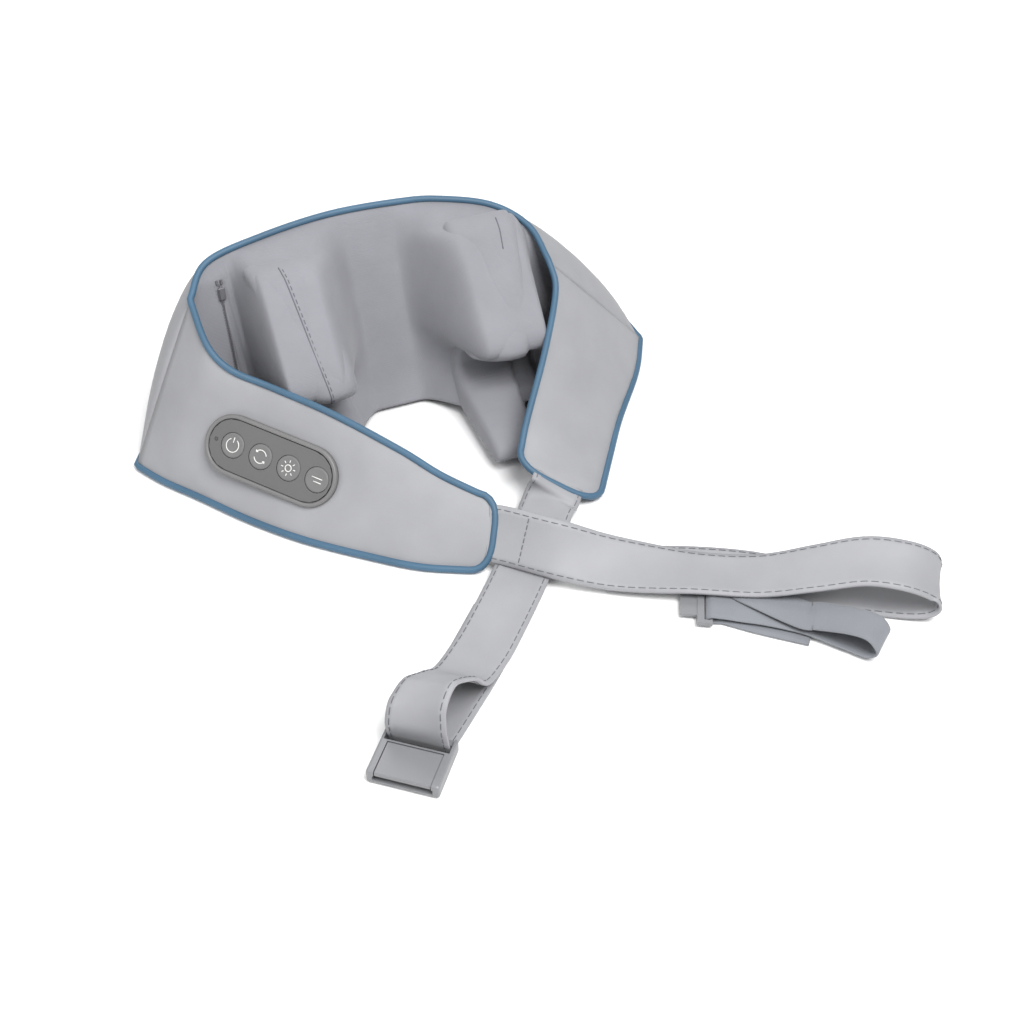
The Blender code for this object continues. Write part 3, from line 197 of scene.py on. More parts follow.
slot_of = {part["node"]: part["material_slot"] for part in frame["record"]["subparts"]}
for node_name, node in frame["nodes"].items():
    node.data.materials.clear()
    node.data.materials.append(MATERIALS[slot_of[node_name]])


# ---------------------------------------------------------------- mesh tools

def solid(name, verts, faces, mat, smooth=True):
    """A mesh object from points and faces, with its normals turned outward."""
    mesh = bpy.data.meshes.new(name)
    mesh.from_pydata([tuple(map(float, v)) for v in verts], [], [tuple(map(int, f)) for f in faces])
    bm = bmesh.new()
    bm.from_mesh(mesh)
    bmesh.ops.recalc_face_normals(bm, faces=bm.faces)
    bm.to_mesh(mesh)
    bm.free()
    mesh.materials.append(mat)
    if smooth:
        mesh.shade_smooth()
    obj = bpy.data.objects.new(name, mesh)
    bpy.context.scene.collection.objects.link(obj)
    return obj


def place(obj, body, slot, *nodes):
    """Puts a piece on its body and hides the CAD nodes that it stands for; the slot argument is not used."""
    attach(obj, body)
    if nodes:
        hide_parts(*nodes)
    return obj


def unit(v):
    return v / np.linalg.norm(v)


def spline(points, per_span, closed=False):
    """The smooth curve through rows of numbers, with per_span points to each span."""
    p = np.array(points, float)
    if closed:
        padded = np.vstack([p[-1], p, p[0], p[1]])
    else:
        padded = np.vstack([2 * p[0] - p[1], p, 2 * p[-1] - p[-2]])
    fine = []
    for i in range(1, len(padded) - 2):
        a, b, c, d = padded[i - 1: i + 3]
        for u in np.linspace(0, 1, per_span, endpoint=False):
            fine.append(
                0.5 * (2 * b + (c - a) * u + (2 * a - 5 * b + 4 * c - d) * u**2 + (3 * b - a - 3 * c + d) * u**3)
            )
    return np.array(fine if closed else fine + [p[-1]])


def evenly(points, count):
    """Points at even distances along a polyline."""
    run = np.concatenate([[0], np.cumsum(np.linalg.norm(np.diff(points, axis=0), axis=1))])
    want = np.linspace(0, run[-1], count)
    return np.column_stack([np.interp(want, run, points[:, k]) for k in range(points.shape[1])])


def resample(points, count):
    return evenly(spline(points, 12) * MM, count)


def closed_sheet(name, outer, inner, mat):
    """A closed piece between two grids of the same size."""
    rows, columns = outer.shape[:2]
    shift = rows * columns
    faces = []
    for i in range(rows - 1):
        for j in range(columns - 1):
            a = i * columns + j
            faces.append((a, a + 1, a + columns + 1, a + columns))
            faces.append((shift + a, shift + a + columns, shift + a + columns + 1, shift + a + 1))
    edge = [i * columns for i in range(rows)]
    edge += [(rows - 1) * columns + j for j in range(1, columns)]
    edge += [i * columns + columns - 1 for i in range(rows - 2, -1, -1)]
    edge += list(range(columns - 2, 0, -1))
    for a, b in zip(edge, edge[1:] + edge[:1]):
        faces.append((a, b, shift + b, shift + a))
    return solid(name, [*outer.reshape(-1, 3), *inner.reshape(-1, 3)], faces, mat)


def tube_data(points, radius, sides=8, closed=False, start=0):
    """Vertices and faces of a tube along points."""
    p = np.array(points, float)
    tangent = np.roll(p, -1, 0) - np.roll(p, 1, 0) if closed else np.gradient(p, axis=0)
    tangent /= np.linalg.norm(tangent, axis=1)[:, None]
    side = unit(np.cross(tangent[0], [0.31, 0.17, 0.93]))
    verts, faces = [], []
    for centre, direction in zip(p, tangent):
        side = unit(side - direction * (side @ direction))
        up = np.cross(direction, side)
        for k in range(sides):
            turn = 2 * math.pi * k / sides
            verts.append(centre + radius * (side * math.cos(turn) + up * math.sin(turn)))
    rings = len(p)
    for i in range(rings if closed else rings - 1):
        for k in range(sides):
            nxt, here, there = (k + 1) % sides, i * sides, (i + 1) % rings * sides
            faces.append([start + v for v in (here + k, here + nxt, there + nxt, there + k)])
    if not closed:
        faces.append([start + k for k in range(sides)])
        faces.append([start + (rings - 1) * sides + k for k in range(sides)])
    return verts, faces


def tubes(name, paths, radius, mat, sides=8, closed=False):
    """One object of several tubes."""
    verts, faces = [], []
    for path in paths:
        more, loops = tube_data(path, radius, sides, closed, len(verts))
        verts += more
        faces += loops
    return solid(name, verts, faces, mat)


def stitch_paths(points, normals, pitch=6.5 * MM, length=4.6 * MM, lift=0.12 * MM):
    """Short dashes along a line on a surface, a little above it in the middle."""
    p, n = np.array(points, float), np.array(normals, float)
    run = np.concatenate([[0], np.cumsum(np.linalg.norm(np.diff(p, axis=0), axis=1))])
    paths = []
    for s in np.arange(pitch / 2, run[-1] - length, pitch):
        dash = []
        for share, rise in ((0, -0.3), (0.25, 1), (0.75, 1), (1, -0.3)):
            at = s + length * share
            here = np.array([np.interp(at, run, p[:, k]) for k in range(3)])
            out = unit(np.array([np.interp(at, run, n[:, k]) for k in range(3)]))
            dash.append(here + out * lift * rise)
        paths.append(dash)
    return paths


# ---------------------------------------------------------------- collar

def tip_direction(side):
    """The direction an arm points in at its end, square to its end line."""
    top, bottom = (LEFT_ARM_TOP, LEFT_ARM_BOTTOM) if side == "left" else (RIGHT_ARM_TOP, RIGHT_ARM_BOTTOM)
    top, bottom = resample(top, CAD_ROWS), resample(bottom, CAD_ROWS)
    along = unit(top[-1] + bottom[-1] - top[-3] - bottom[-3])
    across = unit(top[-1] - bottom[-1])
    return unit(along - across * (along @ across))


def seam_rows(top, bottom, inset):
    across = top - bottom
    across /= np.linalg.norm(across, axis=1)[:, None]
    return top - across * inset, bottom + across * inset


def arm_rows(side, inset=0.0):
    """Both seams of an arm from the corner to the rounded tip."""
    top, bottom = (LEFT_ARM_TOP, LEFT_ARM_BOTTOM) if side == "left" else (RIGHT_ARM_TOP, RIGHT_ARM_BOTTOM)
    top, bottom = seam_rows(resample(top, ARM_ROWS), resample(bottom, ARM_ROWS), inset)
    middle, half = (top[-1] + bottom[-1]) / 2, (top[-1] - bottom[-1]) / 2
    along, last = tip_direction(side), math.radians(84)
    rows = []
    for k in range(1, TIP_ROWS + 1):
        turn = last * k / TIP_ROWS
        reach = along * (TIP_REACH - inset) * math.sin(turn) / math.sin(last)
        spread = half * max(math.cos(turn), 0.0) ** 0.6
        rows.append((middle + reach + spread, middle + reach - spread))
    return np.vstack([top, [r[0] for r in rows]]), np.vstack([bottom, [r[1] for r in rows]])


def back_rows(inset=0.0):
    return seam_rows(resample(BACK_TOP, BACK_ROWS), resample(BACK_BOTTOM, BACK_ROWS), inset)


def panel_frame():
    """Turn and origin of the control panel on the left arm."""
    top, bottom = np.array(LEFT_ARM_TOP) * MM, np.array(LEFT_ARM_BOTTOM) * MM
    middle = (top + bottom) / 2
    along = Vector(middle[4] - middle[2]).normalized()
    across = Vector(top[3] - bottom[3])
    out = along.cross(across).normalized()
    across = out.cross(along)
    origin = Vector(middle[3]) + along * PANEL_ALONG + across * PANEL_ACROSS + out * PANEL_LIFT
    return Matrix.Translation(origin) @ Matrix((along, across, out)).transposed().to_4x4()


PANEL = panel_frame()


def away_from_panel(points):
    """0 under the control panel and 1 well away from it, for each point of a grid."""
    flat = PANEL.inverted()
    shares = np.zeros(points.shape[:2])
    reach = (PANEL_LENGTH - PANEL_WIDTH) / 2
    for index in np.ndindex(*shares.shape):
        x, y, _ = flat @ Vector(points[index])
        gap = math.hypot(max(abs(x) - reach, 0), y) - PANEL_WIDTH / 2 - 3 * MM
        shares[index] = min(max(gap / (22 * MM), 0), 1)
    return shares * shares * (3 - 2 * shares)


def collar_grid():
    """Outer surface of the collar from the left tip to the right one, and its outward normals."""
    left, back, right = arm_rows("left", SEAM_INSET), back_rows(SEAM_INSET), arm_rows("right", SEAM_INSET)
    top = np.vstack([left[0][::-1], back[0][1:-1], right[0]])
    bottom = np.vstack([left[1][::-1], back[1][1:-1], right[1]])
    bulge = np.zeros(len(top))
    count = len(left[0])
    rounded = np.sin(np.linspace(0, math.pi, BACK_ROWS)) ** BULGE_FULLNESS
    bulge[count - 1: count + BACK_ROWS - 1] = BACK_BULGE * rounded
    shares = 0.5 - 0.5 * np.cos(np.pi * np.linspace(0, 1, COLUMNS))
    flat = np.gradient(top + bottom, axis=0)
    out = np.column_stack([-flat[:, 1], flat[:, 0], 0 * flat[:, 0]])
    out /= np.linalg.norm(out, axis=1)[:, None]
    grid = np.zeros((len(top), COLUMNS, 3))
    for k, t in enumerate(shares):
        swell = bulge * (4 * t * (1 - t)) ** BULGE_FULLNESS
        grid[:, k] = bottom * (1 - t) + top * t + out * swell[:, None]
    normal = np.cross(np.gradient(grid, axis=0), np.gradient(grid, axis=1))
    normal /= np.maximum(np.linalg.norm(normal, axis=2), 1e-12)[:, :, None]
    normal *= np.sign(np.sum(normal * out[:, None, :], axis=2))[:, :, None]
    return grid, normal, shares


GRID, NORMAL, SHARES = collar_grid()
ARM_COUNT = ARM_ROWS + TIP_ROWS


def pillow(rows, fade_start, fade_end):
    """Fullness of a padded piece at each grid point: 0 at its seams, 1 well inside."""
    across = 1 - np.abs(2 * SHARES - 1) ** 3.2
    along = np.ones(rows)
    for k in range(fade_start):
        along[k] = math.sin(math.pi / 2 * (k + 0.3) / fade_start) ** 0.7
    for k in range(fade_end):
        along[rows - 1 - k] = math.sin(math.pi / 2 * (k + 0.3) / fade_end) ** 0.7
    return np.outer(along, across)


def puckers(rows, step, strength):
    """Small gathers along the seams, fading away from them."""
    near = np.abs(2 * SHARES - 1) ** 6 * (1 - np.abs(2 * SHARES - 1) ** 24)
    wave = np.sin(np.arange(rows) * step) + 0.6 * np.sin(np.arange(rows) * step * 1.73 + 1.0)
    return np.outer(wave, near) * strength


def make_collar():
    pieces = {
        "left_arm": (GRID[:ARM_COUNT][::-1], NORMAL[:ARM_COUNT][::-1], 5, 12, ARM_DEPTH, 2.6 * MM),
        "right_arm": (GRID[-ARM_COUNT:], NORMAL[-ARM_COUNT:], 5, 12, ARM_DEPTH, 2.6 * MM),
        "back": (GRID[ARM_COUNT - 1: 1 - ARM_COUNT], NORMAL[ARM_COUNT - 1: 1 - ARM_COUNT], 4, 4, BACK_DEPTH, 1.5 * MM),
    }
    for name, (grid, normal, start, end, depth, swell) in pieces.items():
        full = pillow(len(grid), start, end)
        rise = full * swell + puckers(len(grid), 1.15, 0.35 * MM)
        if name == "left_arm":
            rise = rise * away_from_panel(grid)
        outer = grid + normal * rise[:, :, None]
        inner = grid - normal * (EDGE_DEPTH + (depth - EDGE_DEPTH) * full)[:, :, None]
        piece = closed_sheet(f"{name}_padding_and_cover", outer, inner, MATERIALS["grey_leather"])
        if name == "back":
            place(piece, "collar", "grey_leather", "back_cover", "back_padding")
        else:
            nodes = [f"{name}_{layer}" for layer in ("cover", "padding", "lining")]
            place(piece, "collar", "grey_leather", *nodes)


def make_piping():
    left_top, left_bottom = arm_rows("left")
    right_top, right_bottom = arm_rows("right")
    back_top, back_bottom = back_rows()
    loop = [*left_top[::-1], *back_top[1:-1], *right_top]
    loop += [*right_bottom[::-1], *back_bottom[::-1][1:-1], *left_bottom]
    piece = tubes("edge_piping_cord", [evenly(np.array(loop + loop[:1]), 420)[:-1]], PIPING_R, MATERIALS["piping"], 16, True)
    place(piece, "collar", "piping", "edge_piping")


# ---------------------------------------------------------------- inner skin, zipper, base

SKIN_SEAM = resample(BACK_TOP, 90)


PALM_LINE = [
    (2, 131), (-12, 132), (-24, 128), (-44, 109), (-62, 91), (-76, 76), (-80, 67), (-77, 62),
    (-62, 60), (-48, 56), (-39, 47), (-38, 38), (-44, 27), (-58, 20), (-74, 14),
]
SKIN_ROWS = 64


def smooth_step(value, low, high):
    share = min(max((value - low) / (high - low), 0.0), 1.0)
    return share * share * (3 - 2 * share)


def flat_row(seam_y, seam_z, drop):
    """The skin from the seam down to its foot where nothing pushes it forward, as (y, z)."""
    lower = 10 * MM * min(max((drop - 6 * MM) / (6 * MM), 0), 1)
    line = [
        (seam_y - 0.4 * MM, seam_z - 1.2 * MM),
        (seam_y - drop * 0.6, seam_z - drop),
        (SKIN_FOOT_Y + lower, SKIN_FOOT_Z),
    ]
    return evenly(np.array(line), SKIN_ROWS)


def pushed_row(seam_y, seam_z):
    """The skin where a hand pushes it forward: over the palm, into the throat and on to the finger."""
    palm = np.array(PALM_LINE, float) * MM
    seam = np.array([[seam_y - 0.4 * MM, seam_z - 1.2 * MM], [seam_y - 6 * MM, seam_z - 3 * MM]])
    return evenly(spline(np.vstack([seam, palm]), 8), SKIN_ROWS)


def make_inner_skin():
    """The stretched skin inside the collar, drawn forward by the hands and creased beside the zipper."""
    grid = []
    for x in np.concatenate([np.linspace(-138, -100, 34), np.linspace(-99, 99, 150), np.linspace(100, 117.5, 20)]) * MM:
        y, z = (float(np.interp(x, SKIN_SEAM[:, 0], SKIN_SEAM[:, k])) for k in (1, 2))
        drop = (6 + 6 * min(max((abs(x) - 60 * MM) / (45 * MM), 0), 1)) * MM
        flare = 0.0
        if x < -121 * MM:
            flare = (x + 121 * MM) * 3.0
            drop *= max(0.25, 1 + (x + 121 * MM) / (20 * MM))
        if x > 112 * MM:
            flare = (x - 112 * MM) * 14
        push = smooth_step(abs(x), 16 * MM, 56 * MM) * (1 - smooth_step(abs(x), (98 if x > 0 else 92) * MM, (118 if x > 0 else 108) * MM))
        line = flat_row(y, z, drop) * (1 - push) + pushed_row(y, z) * push
        down = np.linspace(0, 1, SKIN_ROWS)
        middle = np.sin(np.pi * down)
        if -116 * MM < x < -104 * MM:
            line[:, 0] += np.sin((x / MM - 8 * down) * 1.25) * 1.1 * MM * middle
        line[:, 0] += 2.0 * MM * middle * math.cos(x / (38 * MM)) * (1 - push)
        grid.append(np.column_stack([x + flare * down, line]))
    grid = np.array(grid)
    normal = np.cross(np.gradient(grid, axis=0), np.gradient(grid, axis=1))
    normal /= np.maximum(np.linalg.norm(normal, axis=2), 1e-12)[:, :, None]
    normal *= np.sign(normal[len(grid) // 2, SKIN_ROWS // 2, 1])
    piece = closed_sheet("inner_skin", grid, grid + normal * 1.4 * MM, MATERIALS["stretch_fabric"])
    place(piece, "collar", "stretch_fabric", "centre_skin", "left_side_skin", "right_side_skin")


def side_skin_point(x, share):
    """The place of the zipper on the skin."""
    y, z = (float(np.interp(x, SKIN_SEAM[:, 0], SKIN_SEAM[:, k])) for k in (1, 2))
    top_y, top_z = y - 12 * MM * 0.6, z - 12 * MM
    foot = np.array([0, 10 * MM, MM]) * (1 - share)
    return np.array([
        x, SKIN_FOOT_Y + (top_y - SKIN_FOOT_Y) * share, SKIN_FOOT_Z + (top_z - SKIN_FOOT_Z) * share,
    ]) + foot


def prism(verts, faces, matrix, low, high):
    """Adds a box in a local frame."""
    base = len(verts)
    for x in (low[0], high[0]):
        for y in (low[1], high[1]):
            for z in (low[2], high[2]):
                verts.append(matrix @ Vector((x, y, z)))
    for f in ((0, 1, 3, 2), (4, 6, 7, 5), (0, 4, 5, 1), (2, 3, 7, 6), (0, 2, 6, 4), (1, 5, 7, 3)):
        faces.append([base + k for k in f])


def make_zipper():
    """Tape, two rows of teeth and two end stops; the slider is the CAD one."""
    top, foot = (Vector(side_skin_point(ZIPPER_X, s)) for s in (ZIPPER_TOP, ZIPPER_FOOT))
    along = (foot - top).normalized()
    across = Vector(side_skin_point(ZIPPER_X + MM, ZIPPER_TOP) - side_skin_point(ZIPPER_X - MM, ZIPPER_TOP))
    across = (across - along * across.dot(along)).normalized()
    out = along.cross(across)
    matrix = Matrix.Translation(top + out * 0.8 * MM) @ Matrix((along, across, out)).transposed().to_4x4()
    length = (foot - top).length
    verts, faces = [], []
    steps, width = 40, 3.5 * MM
    for side in (-1, 1):
        prism(verts, faces, matrix, (0, side * 0.4 * MM - 0.3 * MM, 0), (length, side * 0.4 * MM + 0.3 * MM, 0.5 * MM))
        prism(verts, faces, matrix, (0, min(side * 0.6 * MM, side * width), 0), (length, max(side * 0.6 * MM, side * width), 0.35 * MM))
    tape = solid("zipper_tape_cloth", verts, faces, MATERIALS["stretch_fabric"], False)
    place(tape, "collar", "stretch_fabric", "zipper_tape")
    verts, faces = [], []
    for k in range(steps * 2):
        at = length * (k + 0.5) / (steps * 2)
        side = 1 if k % 2 else -1
        low, high = sorted((side * 1.3 * MM, -side * 0.4 * MM))
        prism(verts, faces, matrix, (at - 0.45 * MM, low, 0.3 * MM), (at + 0.45 * MM, high, 1.2 * MM))
    for side in (-1, 1):
        prism(verts, faces, matrix, (-3 * MM, side * 1.6 * MM - 0.8 * MM, 0.2 * MM), (0, side * 1.6 * MM + 0.8 * MM, 1.6 * MM))
    teeth = solid("zipper_teeth", verts, faces, MATERIALS["zipper_metal"], False)
    place(teeth, "collar", "zipper_metal")


def make_base():
    """The base cloth, from the CAD panel, with a soft rim."""
    cad = frame["nodes"]["base_panel"]
    mesh = cad.data.copy()
    mesh.materials.clear()
    mesh.materials.append(MATERIALS["stretch_fabric"])
    piece = bpy.data.objects.new("base_cloth", mesh)
    bpy.context.scene.collection.objects.link(piece)
    piece.matrix_world = cad.matrix_world.copy()
    rim = piece.modifiers.new("rim", "BEVEL")
    rim.width, rim.segments, rim.limit_method = 0.8 * MM, 3, "ANGLE"
    place(piece, "collar", "stretch_fabric", "base_panel")


# ---------------------------------------------------------------- hands

def shape_hand(points, side):
    """Leans and narrows a straight hand and fills out its middle."""
    p = points.copy()
    lean = HAND_LEAN_FRONT * -p[:, 1] / HAND_FRONT_Y + HAND_LEAN_FOOT * (1 - p[:, 2] / HAND_TOP_Z)
    taper = 1 + HAND_TAPER * p[:, 1] / HAND_FRONT_Y
    palm = np.clip((p[:, 2] - 45 * MM) / (20 * MM), 0, 1)
    belly = palm * np.sin(np.pi * np.clip((p[:, 2] - 50 * MM) / (90 * MM), 0, 1))
    front = np.clip(-p[:, 1] / (60 * MM), 0, 1)
    outward = np.clip(side * p[:, 0] / HAND_HALF, 0, 1)
    gain = (6.0 if side > 0 else 2.0) * MM
    ridge = (14 if side > 0 else -3) * MM
    crown = (points[:, 0] - ridge) / HAND_HALF
    p[:, 1] += front * palm * np.where(crown < 0, 15 if side < 0 else 9, 6) * MM * crown * crown
    p[:, 0] = side * (HAND_X - lean) + p[:, 0] * taper + side * outward * belly * front * gain
    high = np.clip((points[:, 2] - 80 * MM) / (50 * MM), 0, 1)
    p[:, 2] += high * ((7 if side > 0 else 3) * MM - 6 * MM * crown * crown * front)
    return p


def make_hand(side, label):
    ring = np.array(HAND_RING, float) * MM
    bm = bmesh.new()
    layers = [[bm.verts.new((x, y, z)) for y, z in ring] for x in (-HAND_HALF, HAND_HALF)]
    bm.faces.new(layers[0])
    bm.faces.new(list(reversed(layers[1])))
    count = len(ring)
    for k in range(count):
        nxt = (k + 1) % count
        bm.faces.new((layers[0][k], layers[1][k], layers[1][nxt], layers[0][nxt]))
    bmesh.ops.recalc_face_normals(bm, faces=bm.faces)
    rims = [e for e in bm.edges if abs(e.verts[0].co.x - e.verts[1].co.x) < 1e-9]
    bmesh.ops.bevel(bm, geom=rims, offset=8.5 * MM, segments=4, profile=0.55, affect="EDGES", clamp_overlap=True)
    mesh = bpy.data.meshes.new("hand")
    bm.to_mesh(mesh)
    bm.free()
    rough = bpy.data.objects.new("hand", mesh)
    bpy.context.scene.collection.objects.link(rough)
    remesh = rough.modifiers.new("remesh", "REMESH")
    remesh.mode, remesh.voxel_size = "VOXEL", 2.6 * MM
    ease = rough.modifiers.new("ease", "SMOOTH")
    ease.factor, ease.iterations = 0.5, 6
    bpy.context.view_layer.update()
    done = rough.evaluated_get(bpy.context.evaluated_depsgraph_get()).to_mesh()
    points = np.array([v.co[:] for v in done.vertices])
    faces = [tuple(f.vertices) for f in done.polygons]
    bpy.data.objects.remove(rough)
    glove = solid(f"hand_glove_{label}", shape_hand(points, side), faces, MATERIALS["stretch_fabric"])
    place(glove, f"hand_{label}", "stretch_fabric", f"hand_cover_{label}", f"hand_pad_{label}")
    surface = BVHTree.FromPolygons([tuple(v.co) for v in glove.data.vertices], [tuple(f.vertices) for f in glove.data.polygons])
    seams, dashes = [], []
    edge = evenly(spline(HAND_RING[1:9], 10) * MM, 60)
    across = 12 * MM if side > 0 else -3 * MM
    line = np.column_stack([np.full(len(edge), across), edge])
    for shift, kept in ((0.0, seams), (2.0 * MM, dashes)):
        row = shape_hand(line + np.array([shift, 0, 0]), side)
        hits = [surface.find_nearest(Vector(p)) for p in row]
        spots, normals = np.array([h[0][:] for h in hits]), np.array([h[1][:] for h in hits])
        if kept is seams:
            kept.append(spots[:14] + normals[:14] * 0.1 * MM if side > 0 else spots + normals * 0.1 * MM)
        elif side < 0:
            kept += stitch_paths(spots, normals, 5 * MM, 3 * MM, 0.15 * MM)
    place(tubes(f"hand_seam_{label}", seams, 0.4 * MM, THREAD, 6), f"hand_{label}", "stretch_fabric")
    if dashes:
        place(tubes(f"hand_stitches_{label}", dashes, 0.3 * MM, THREAD, 5), f"hand_{label}", "stretch_fabric")


# ---------------------------------------------------------------- control panel

def stadium(length, width, count=24):
    radius, reach = width / 2, (length - width) / 2
    turns = [math.pi * k / count - math.pi / 2 for k in range(count + 1)]
    right = [(reach + radius * math.cos(a), radius * math.sin(a)) for a in turns]
    return right + [(-x, -y) for x, y in right]


def panel_span(name):
    """Corners of a CAD node in the panel's own frame."""
    flat = PANEL.inverted()
    node = frame["nodes"][name]
    points = np.array([(flat @ (node.matrix_world @ v.co))[:] for v in node.data.vertices])
    return points.min(0), points.max(0)


def lathe_ring(name, profile, mat, outline):
    """A closed ring whose cross-section is given as (inset from the outline, height)."""
    verts, faces = [], []
    loops = [outline(inset) for inset, _ in profile]
    count = len(loops[0])
    for loop, (_, height) in zip(loops, profile):
        verts += [PANEL @ Vector((x, y, height)) for x, y in loop]
    for i in range(len(profile)):
        here, there = i * count, (i + 1) % len(profile) * count
        for k in range(count):
            nxt = (k + 1) % count
            faces.append((here + k, here + nxt, there + nxt, there + k))
    return solid(name, verts, faces, mat)


def make_bezel():
    profile = [
        (0, 0.2), (0, 2.6), (0.15, 3.3), (0.5, 3.9), (1.1, 4.2), (2.1, 4.2), (2.7, 4.0), (3.0, 3.6), (3.1, 3.0), (3.1, 0.4),
    ]
    profile = [(inset * MM, height * MM) for inset, height in profile]
    ring = lathe_ring(
        "bezel_ring", profile, MATERIALS["bezel_plastic"],
        lambda inset: stadium(PANEL_LENGTH - 2 * inset, PANEL_WIDTH - 2 * inset),
    )
    place(ring, "collar", "bezel_plastic", "control_bezel")


def arc(cx, cy, radius, start, end, height, count=24):
    return [
        PANEL @ Vector((cx + radius * math.cos(math.radians(a)), cy + radius * math.sin(math.radians(a)), height))
        for a in np.linspace(start, end, count)
    ]


def line(cx, cy, x0, y0, x1, y1, height):
    return [PANEL @ Vector((cx + x0 + (x1 - x0) * s, cy + y0 + (y1 - y0) * s, height)) for s in (0, 0.5, 1)]


def icon_paths(kind, cx, cy, h):
    """Strokes of a generic sign: power, direction, heat or mode."""
    if kind == "power":
        return [arc(cx, cy, 4.8 * MM, 120, 420, h), line(cx, cy, 0, 2 * MM, 0, 5.8 * MM, h)]
    if kind == "direction":
        strokes = [arc(cx, cy, 4.6 * MM, 20, 150, h), arc(cx, cy, 4.6 * MM, 200, 330, h)]
        for turn in (150, 330):
            x, y = 4.6 * MM * math.cos(math.radians(turn)), 4.6 * MM * math.sin(math.radians(turn))
            s = 1.5 * MM * (1 if turn < 180 else -1)
            strokes += [line(cx, cy, x, y, x + s, y + 0.3 * s, h), line(cx, cy, x, y, x - 0.1 * s, y + s, h)]
        return strokes
    if kind == "heat":
        strokes = [arc(cx, cy, 2.3 * MM, 0, 360, h)]
        for k in range(8):
            c, s = math.cos(math.radians(45 * k)), math.sin(math.radians(45 * k))
            strokes.append(line(cx, cy, 3.9 * MM * c, 3.9 * MM * s, 5.6 * MM * c, 5.6 * MM * s, h))
        return strokes
    return [
        line(cx, cy, -4 * MM, 1.2 * MM, 4 * MM, 1.2 * MM, h),
        line(cx, cy, -2 * MM, -1.6 * MM, 4 * MM, -1.6 * MM, h),
    ]


def make_buttons():
    for kind in ("power", "direction", "heat", "mode"):
        low, high = panel_span(f"button_{kind}")
        cx, cy = (low[0] + high[0]) / 2, (low[1] + high[1]) / 2
        radius, top = (high[0] - low[0]) / 2, high[2]
        low[2] = max(low[2], 1.4 * MM)
        cap = 8.9 * MM if radius > 8.9 * MM else radius
        profile = [(0, low[2]), (cap * 0.98, low[2]), (cap, low[2] + 0.2 * MM), (cap, top - 0.8 * MM)]
        profile += [(cap - 0.25 * MM, top - 0.3 * MM), (cap - 0.8 * MM, top), (cap * 0.8, top - 0.15 * MM), (0, top - 0.35 * MM)]
        verts, faces, sides = [], [], 48
        for r, z in profile[1:-1]:
            for k in range(sides):
                a = 2 * math.pi * k / sides
                verts.append(PANEL @ Vector((cx + r * math.cos(a), cy + r * math.sin(a), z)))
        rings = len(profile) - 2
        for i in range(rings - 1):
            for k in range(sides):
                nxt = (k + 1) % sides
                faces.append((i * sides + k, i * sides + nxt, (i + 1) * sides + nxt, (i + 1) * sides + k))
        for ring, (_, z) in ((0, profile[0]), (rings - 1, profile[-1])):
            centre = len(verts)
            verts.append(PANEL @ Vector((cx, cy, z)))
            faces += [(centre, ring * sides + k, ring * sides + (k + 1) % sides) for k in range(sides)]
        cap_piece = solid(f"button_cap_{kind}", verts, faces, MATERIALS["button_rubber"])
        place(cap_piece, f"{kind}_button", "button_rubber", f"button_{kind}")
        paths = [np.array([p[:] for p in path]) for path in icon_paths(kind, cx, cy, top - 0.1 * MM)]
        place(tubes(f"button_icon_{kind}", paths, 0.36 * MM, ICON, 6), f"{kind}_button", "button_rubber")


# ---------------------------------------------------------------- straps and webbing

def strap_start(side, reach):
    top, bottom = (LEFT_ARM_TOP, LEFT_ARM_BOTTOM) if side == "left" else (RIGHT_ARM_TOP, RIGHT_ARM_BOTTOM)
    top, bottom = resample(top, CAD_ROWS), resample(bottom, CAD_ROWS)
    start = (top[-1] + bottom[-1]) / 2 + tip_direction(side) * reach
    return (*(start / MM), *unit(top[-1] - bottom[-1]))


def band_frames(route, per_span=6):
    stations = spline(route, per_span)
    centres, spans = stations[:, :3] * MM, stations[:, 3:]
    tangents = np.gradient(centres, axis=0)
    frames = []
    for centre, span, tangent in zip(centres, spans, tangents):
        face = unit(np.cross(tangent, span))
        frames.append((centre, unit(np.cross(face, tangent)), face))
    return frames


def make_band(name, route, width, thickness, mat, slot, node, edge_rise=0.25 * MM):
    """A band with rounded edges and, on a strap, raised folded borders."""
    frames = band_frames(route)
    half, t = width / 2, thickness / 2
    border = width * 0.36
    top = [(-half, 0), (-half + 0.5 * MM, t * 0.8), (-border, t), (-border + 0.8 * MM, t - edge_rise)]
    top += [(0, t - edge_rise), (border - 0.8 * MM, t - edge_rise), (border, t), (half - 0.5 * MM, t * 0.8), (half, 0)]
    section = top + [(x, -z) for x, z in top[-2:0:-1]]
    verts, faces, n = [], [], len(section)
    for centre, across, face in frames:
        verts += [centre + across * x + face * z for x, z in section]
    for i in range(len(frames) - 1):
        for k in range(n):
            nxt = (k + 1) % n
            faces.append((i * n + k, i * n + nxt, (i + 1) * n + nxt, (i + 1) * n + k))
    faces += [tuple(range(n)), tuple((len(frames) - 1) * n + k for k in range(n))]
    band = solid(name, verts, faces, mat)
    place(band, "collar", slot, node)
    length = sum(np.linalg.norm(b[0] - a[0]) for a, b in zip(frames, frames[1:]))
    return band, frames, float(length)


def band_stitches(name, frames, width, thickness, inset, slot, pitch=6.8 * MM):
    paths = []
    for side in (-1, 1):
        for up in (-1, 1):
            points = [c + a * side * (width / 2 - inset) + f * up * thickness / 2 * 0.98 for c, a, f in frames]
            paths += stitch_paths(points, [f * up for _, _, f in frames], pitch)
    piece = tubes(name, paths, 0.28 * MM, THREAD, 5)
    return place(piece, "collar", slot)


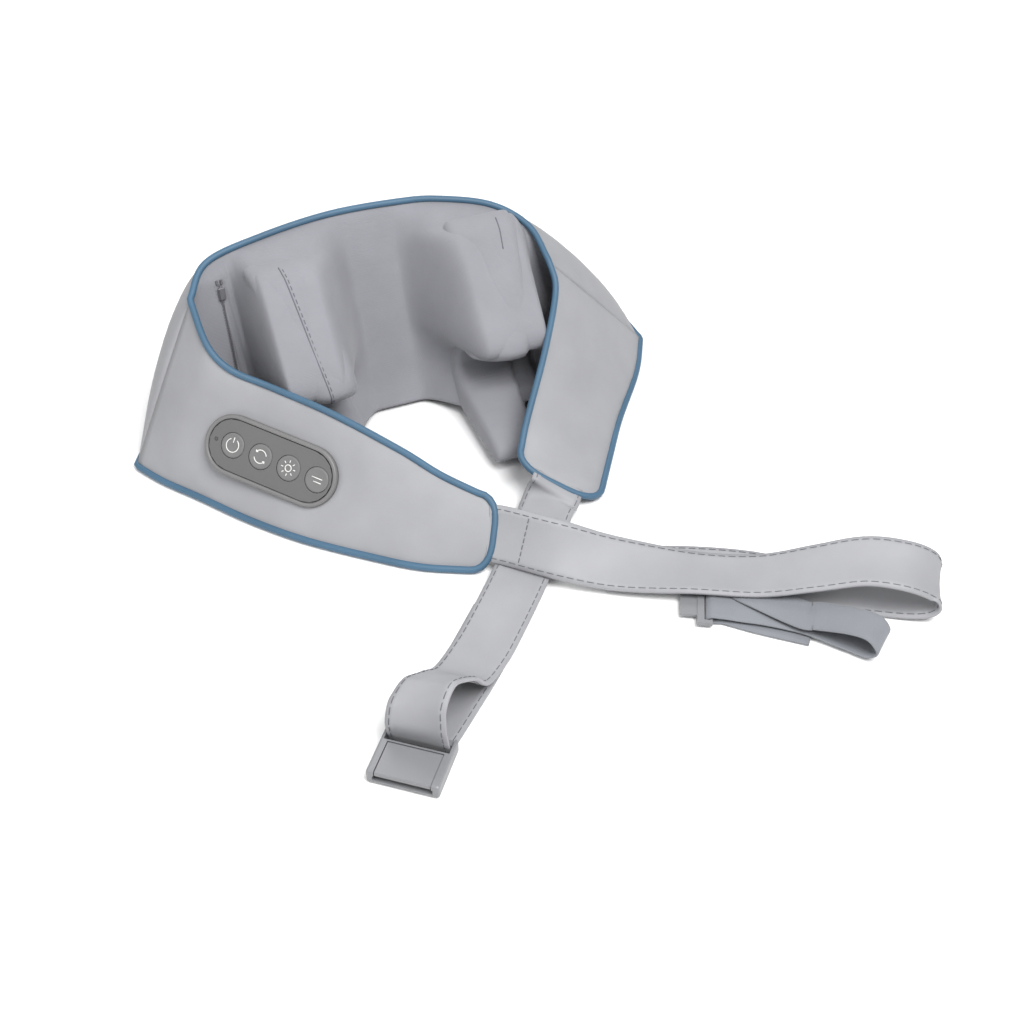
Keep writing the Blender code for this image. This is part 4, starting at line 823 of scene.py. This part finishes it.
def make_straps():
    leather = MATERIALS["grey_leather"]
    for side, route in (("left", LEFT_STRAP), ("right", RIGHT_STRAP)):
        strap, frames, length = make_band(
            f"{side}_strap_band", [strap_start(side, STRAP_START / 2), strap_start(side, STRAP_START), *route], STRAP_W, STRAP_T, leather, "grey_leather", f"{side}_strap"
        )
        stitches = band_stitches(f"{side}_strap_stitches", frames, STRAP_W, STRAP_T, 3 * MM, "grey_leather")
        if side == "left":
            centre, across, face = frames[9]
            cross = [centre + across * s * STRAP_W + face * STRAP_T / 2 for s in np.linspace(-0.44, 0.44, 20)]
            paths = stitch_paths(cross, [face] * 20, 4.5 * MM, 3 * MM)
            place(tubes("left_strap_cross_stitch", paths, 0.3 * MM, THREAD, 5), "collar", "grey_leather")
    webbing, frames, length = make_band(
        "elastic_band", WEBBING, WEBBING_W, WEBBING_T, MATERIALS["webbing"], "webbing", "elastic_webbing", 0.1 * MM
    )


# ---------------------------------------------------------------- stage

def make_stage():
    floor = solid("floor", [(-6, -6, -0.0004), (6, -6, -0.0004), (6, 6, -0.0004), (-6, 6, -0.0004)], [(0, 1, 2, 3)],
                  shader("floor", (0.93, 0.93, 0.93), 0.9, bump=0.01, spread=0.004), False)
    world = bpy.data.worlds.new("studio")
    bpy.context.scene.world = world
    world.use_nodes = True
    world.node_tree.nodes["Background"].inputs["Color"].default_value = (1, 1, 1, 1)
    world.node_tree.nodes["Background"].inputs["Strength"].default_value = 0.36
    lamps = (
        ("key", (0.25, -0.95, 1.5), 0.9, 36),
        ("fill", (-1.3, -0.5, 1.2), 1.4, 10),
        ("rim", (0.2, 1.3, 1.3), 1.2, 12),
    )
    for name, spot, size, power in lamps:
        lamp = bpy.data.lights.new(name, "AREA")
        lamp.size, lamp.energy = size, power
        obj = bpy.data.objects.new(name, lamp)
        bpy.context.scene.collection.objects.link(obj)
        obj.location = spot
        obj.rotation_euler = (Vector((0, -0.12, 0.05)) - Vector(spot)).to_track_quat("-Z", "Y").to_euler()
    target = Vector((0.034, -0.172, 0.0))
    azimuth, elevation, distance = math.radians(-22), math.radians(42), 1.0
    back = Vector((
        math.sin(azimuth) * math.cos(elevation), -math.cos(azimuth) * math.cos(elevation), math.sin(elevation)
    ))
    camera = bpy.data.objects.new("camera", bpy.data.cameras.new("camera"))
    camera.data.lens, camera.data.sensor_width = 50, 36
    camera.location = target + back * distance
    camera.rotation_euler = (-back).to_track_quat("-Z", "Y").to_euler()
    bpy.context.scene.collection.objects.link(camera)
    bpy.context.scene.camera = camera
    bpy.context.scene.view_settings.view_transform = "Standard"


make_collar()
make_piping()
make_inner_skin()
make_zipper()
make_base()
make_hand(-1, "left")
make_hand(1, "right")
make_bezel()
make_buttons()
make_straps()
make_stage()
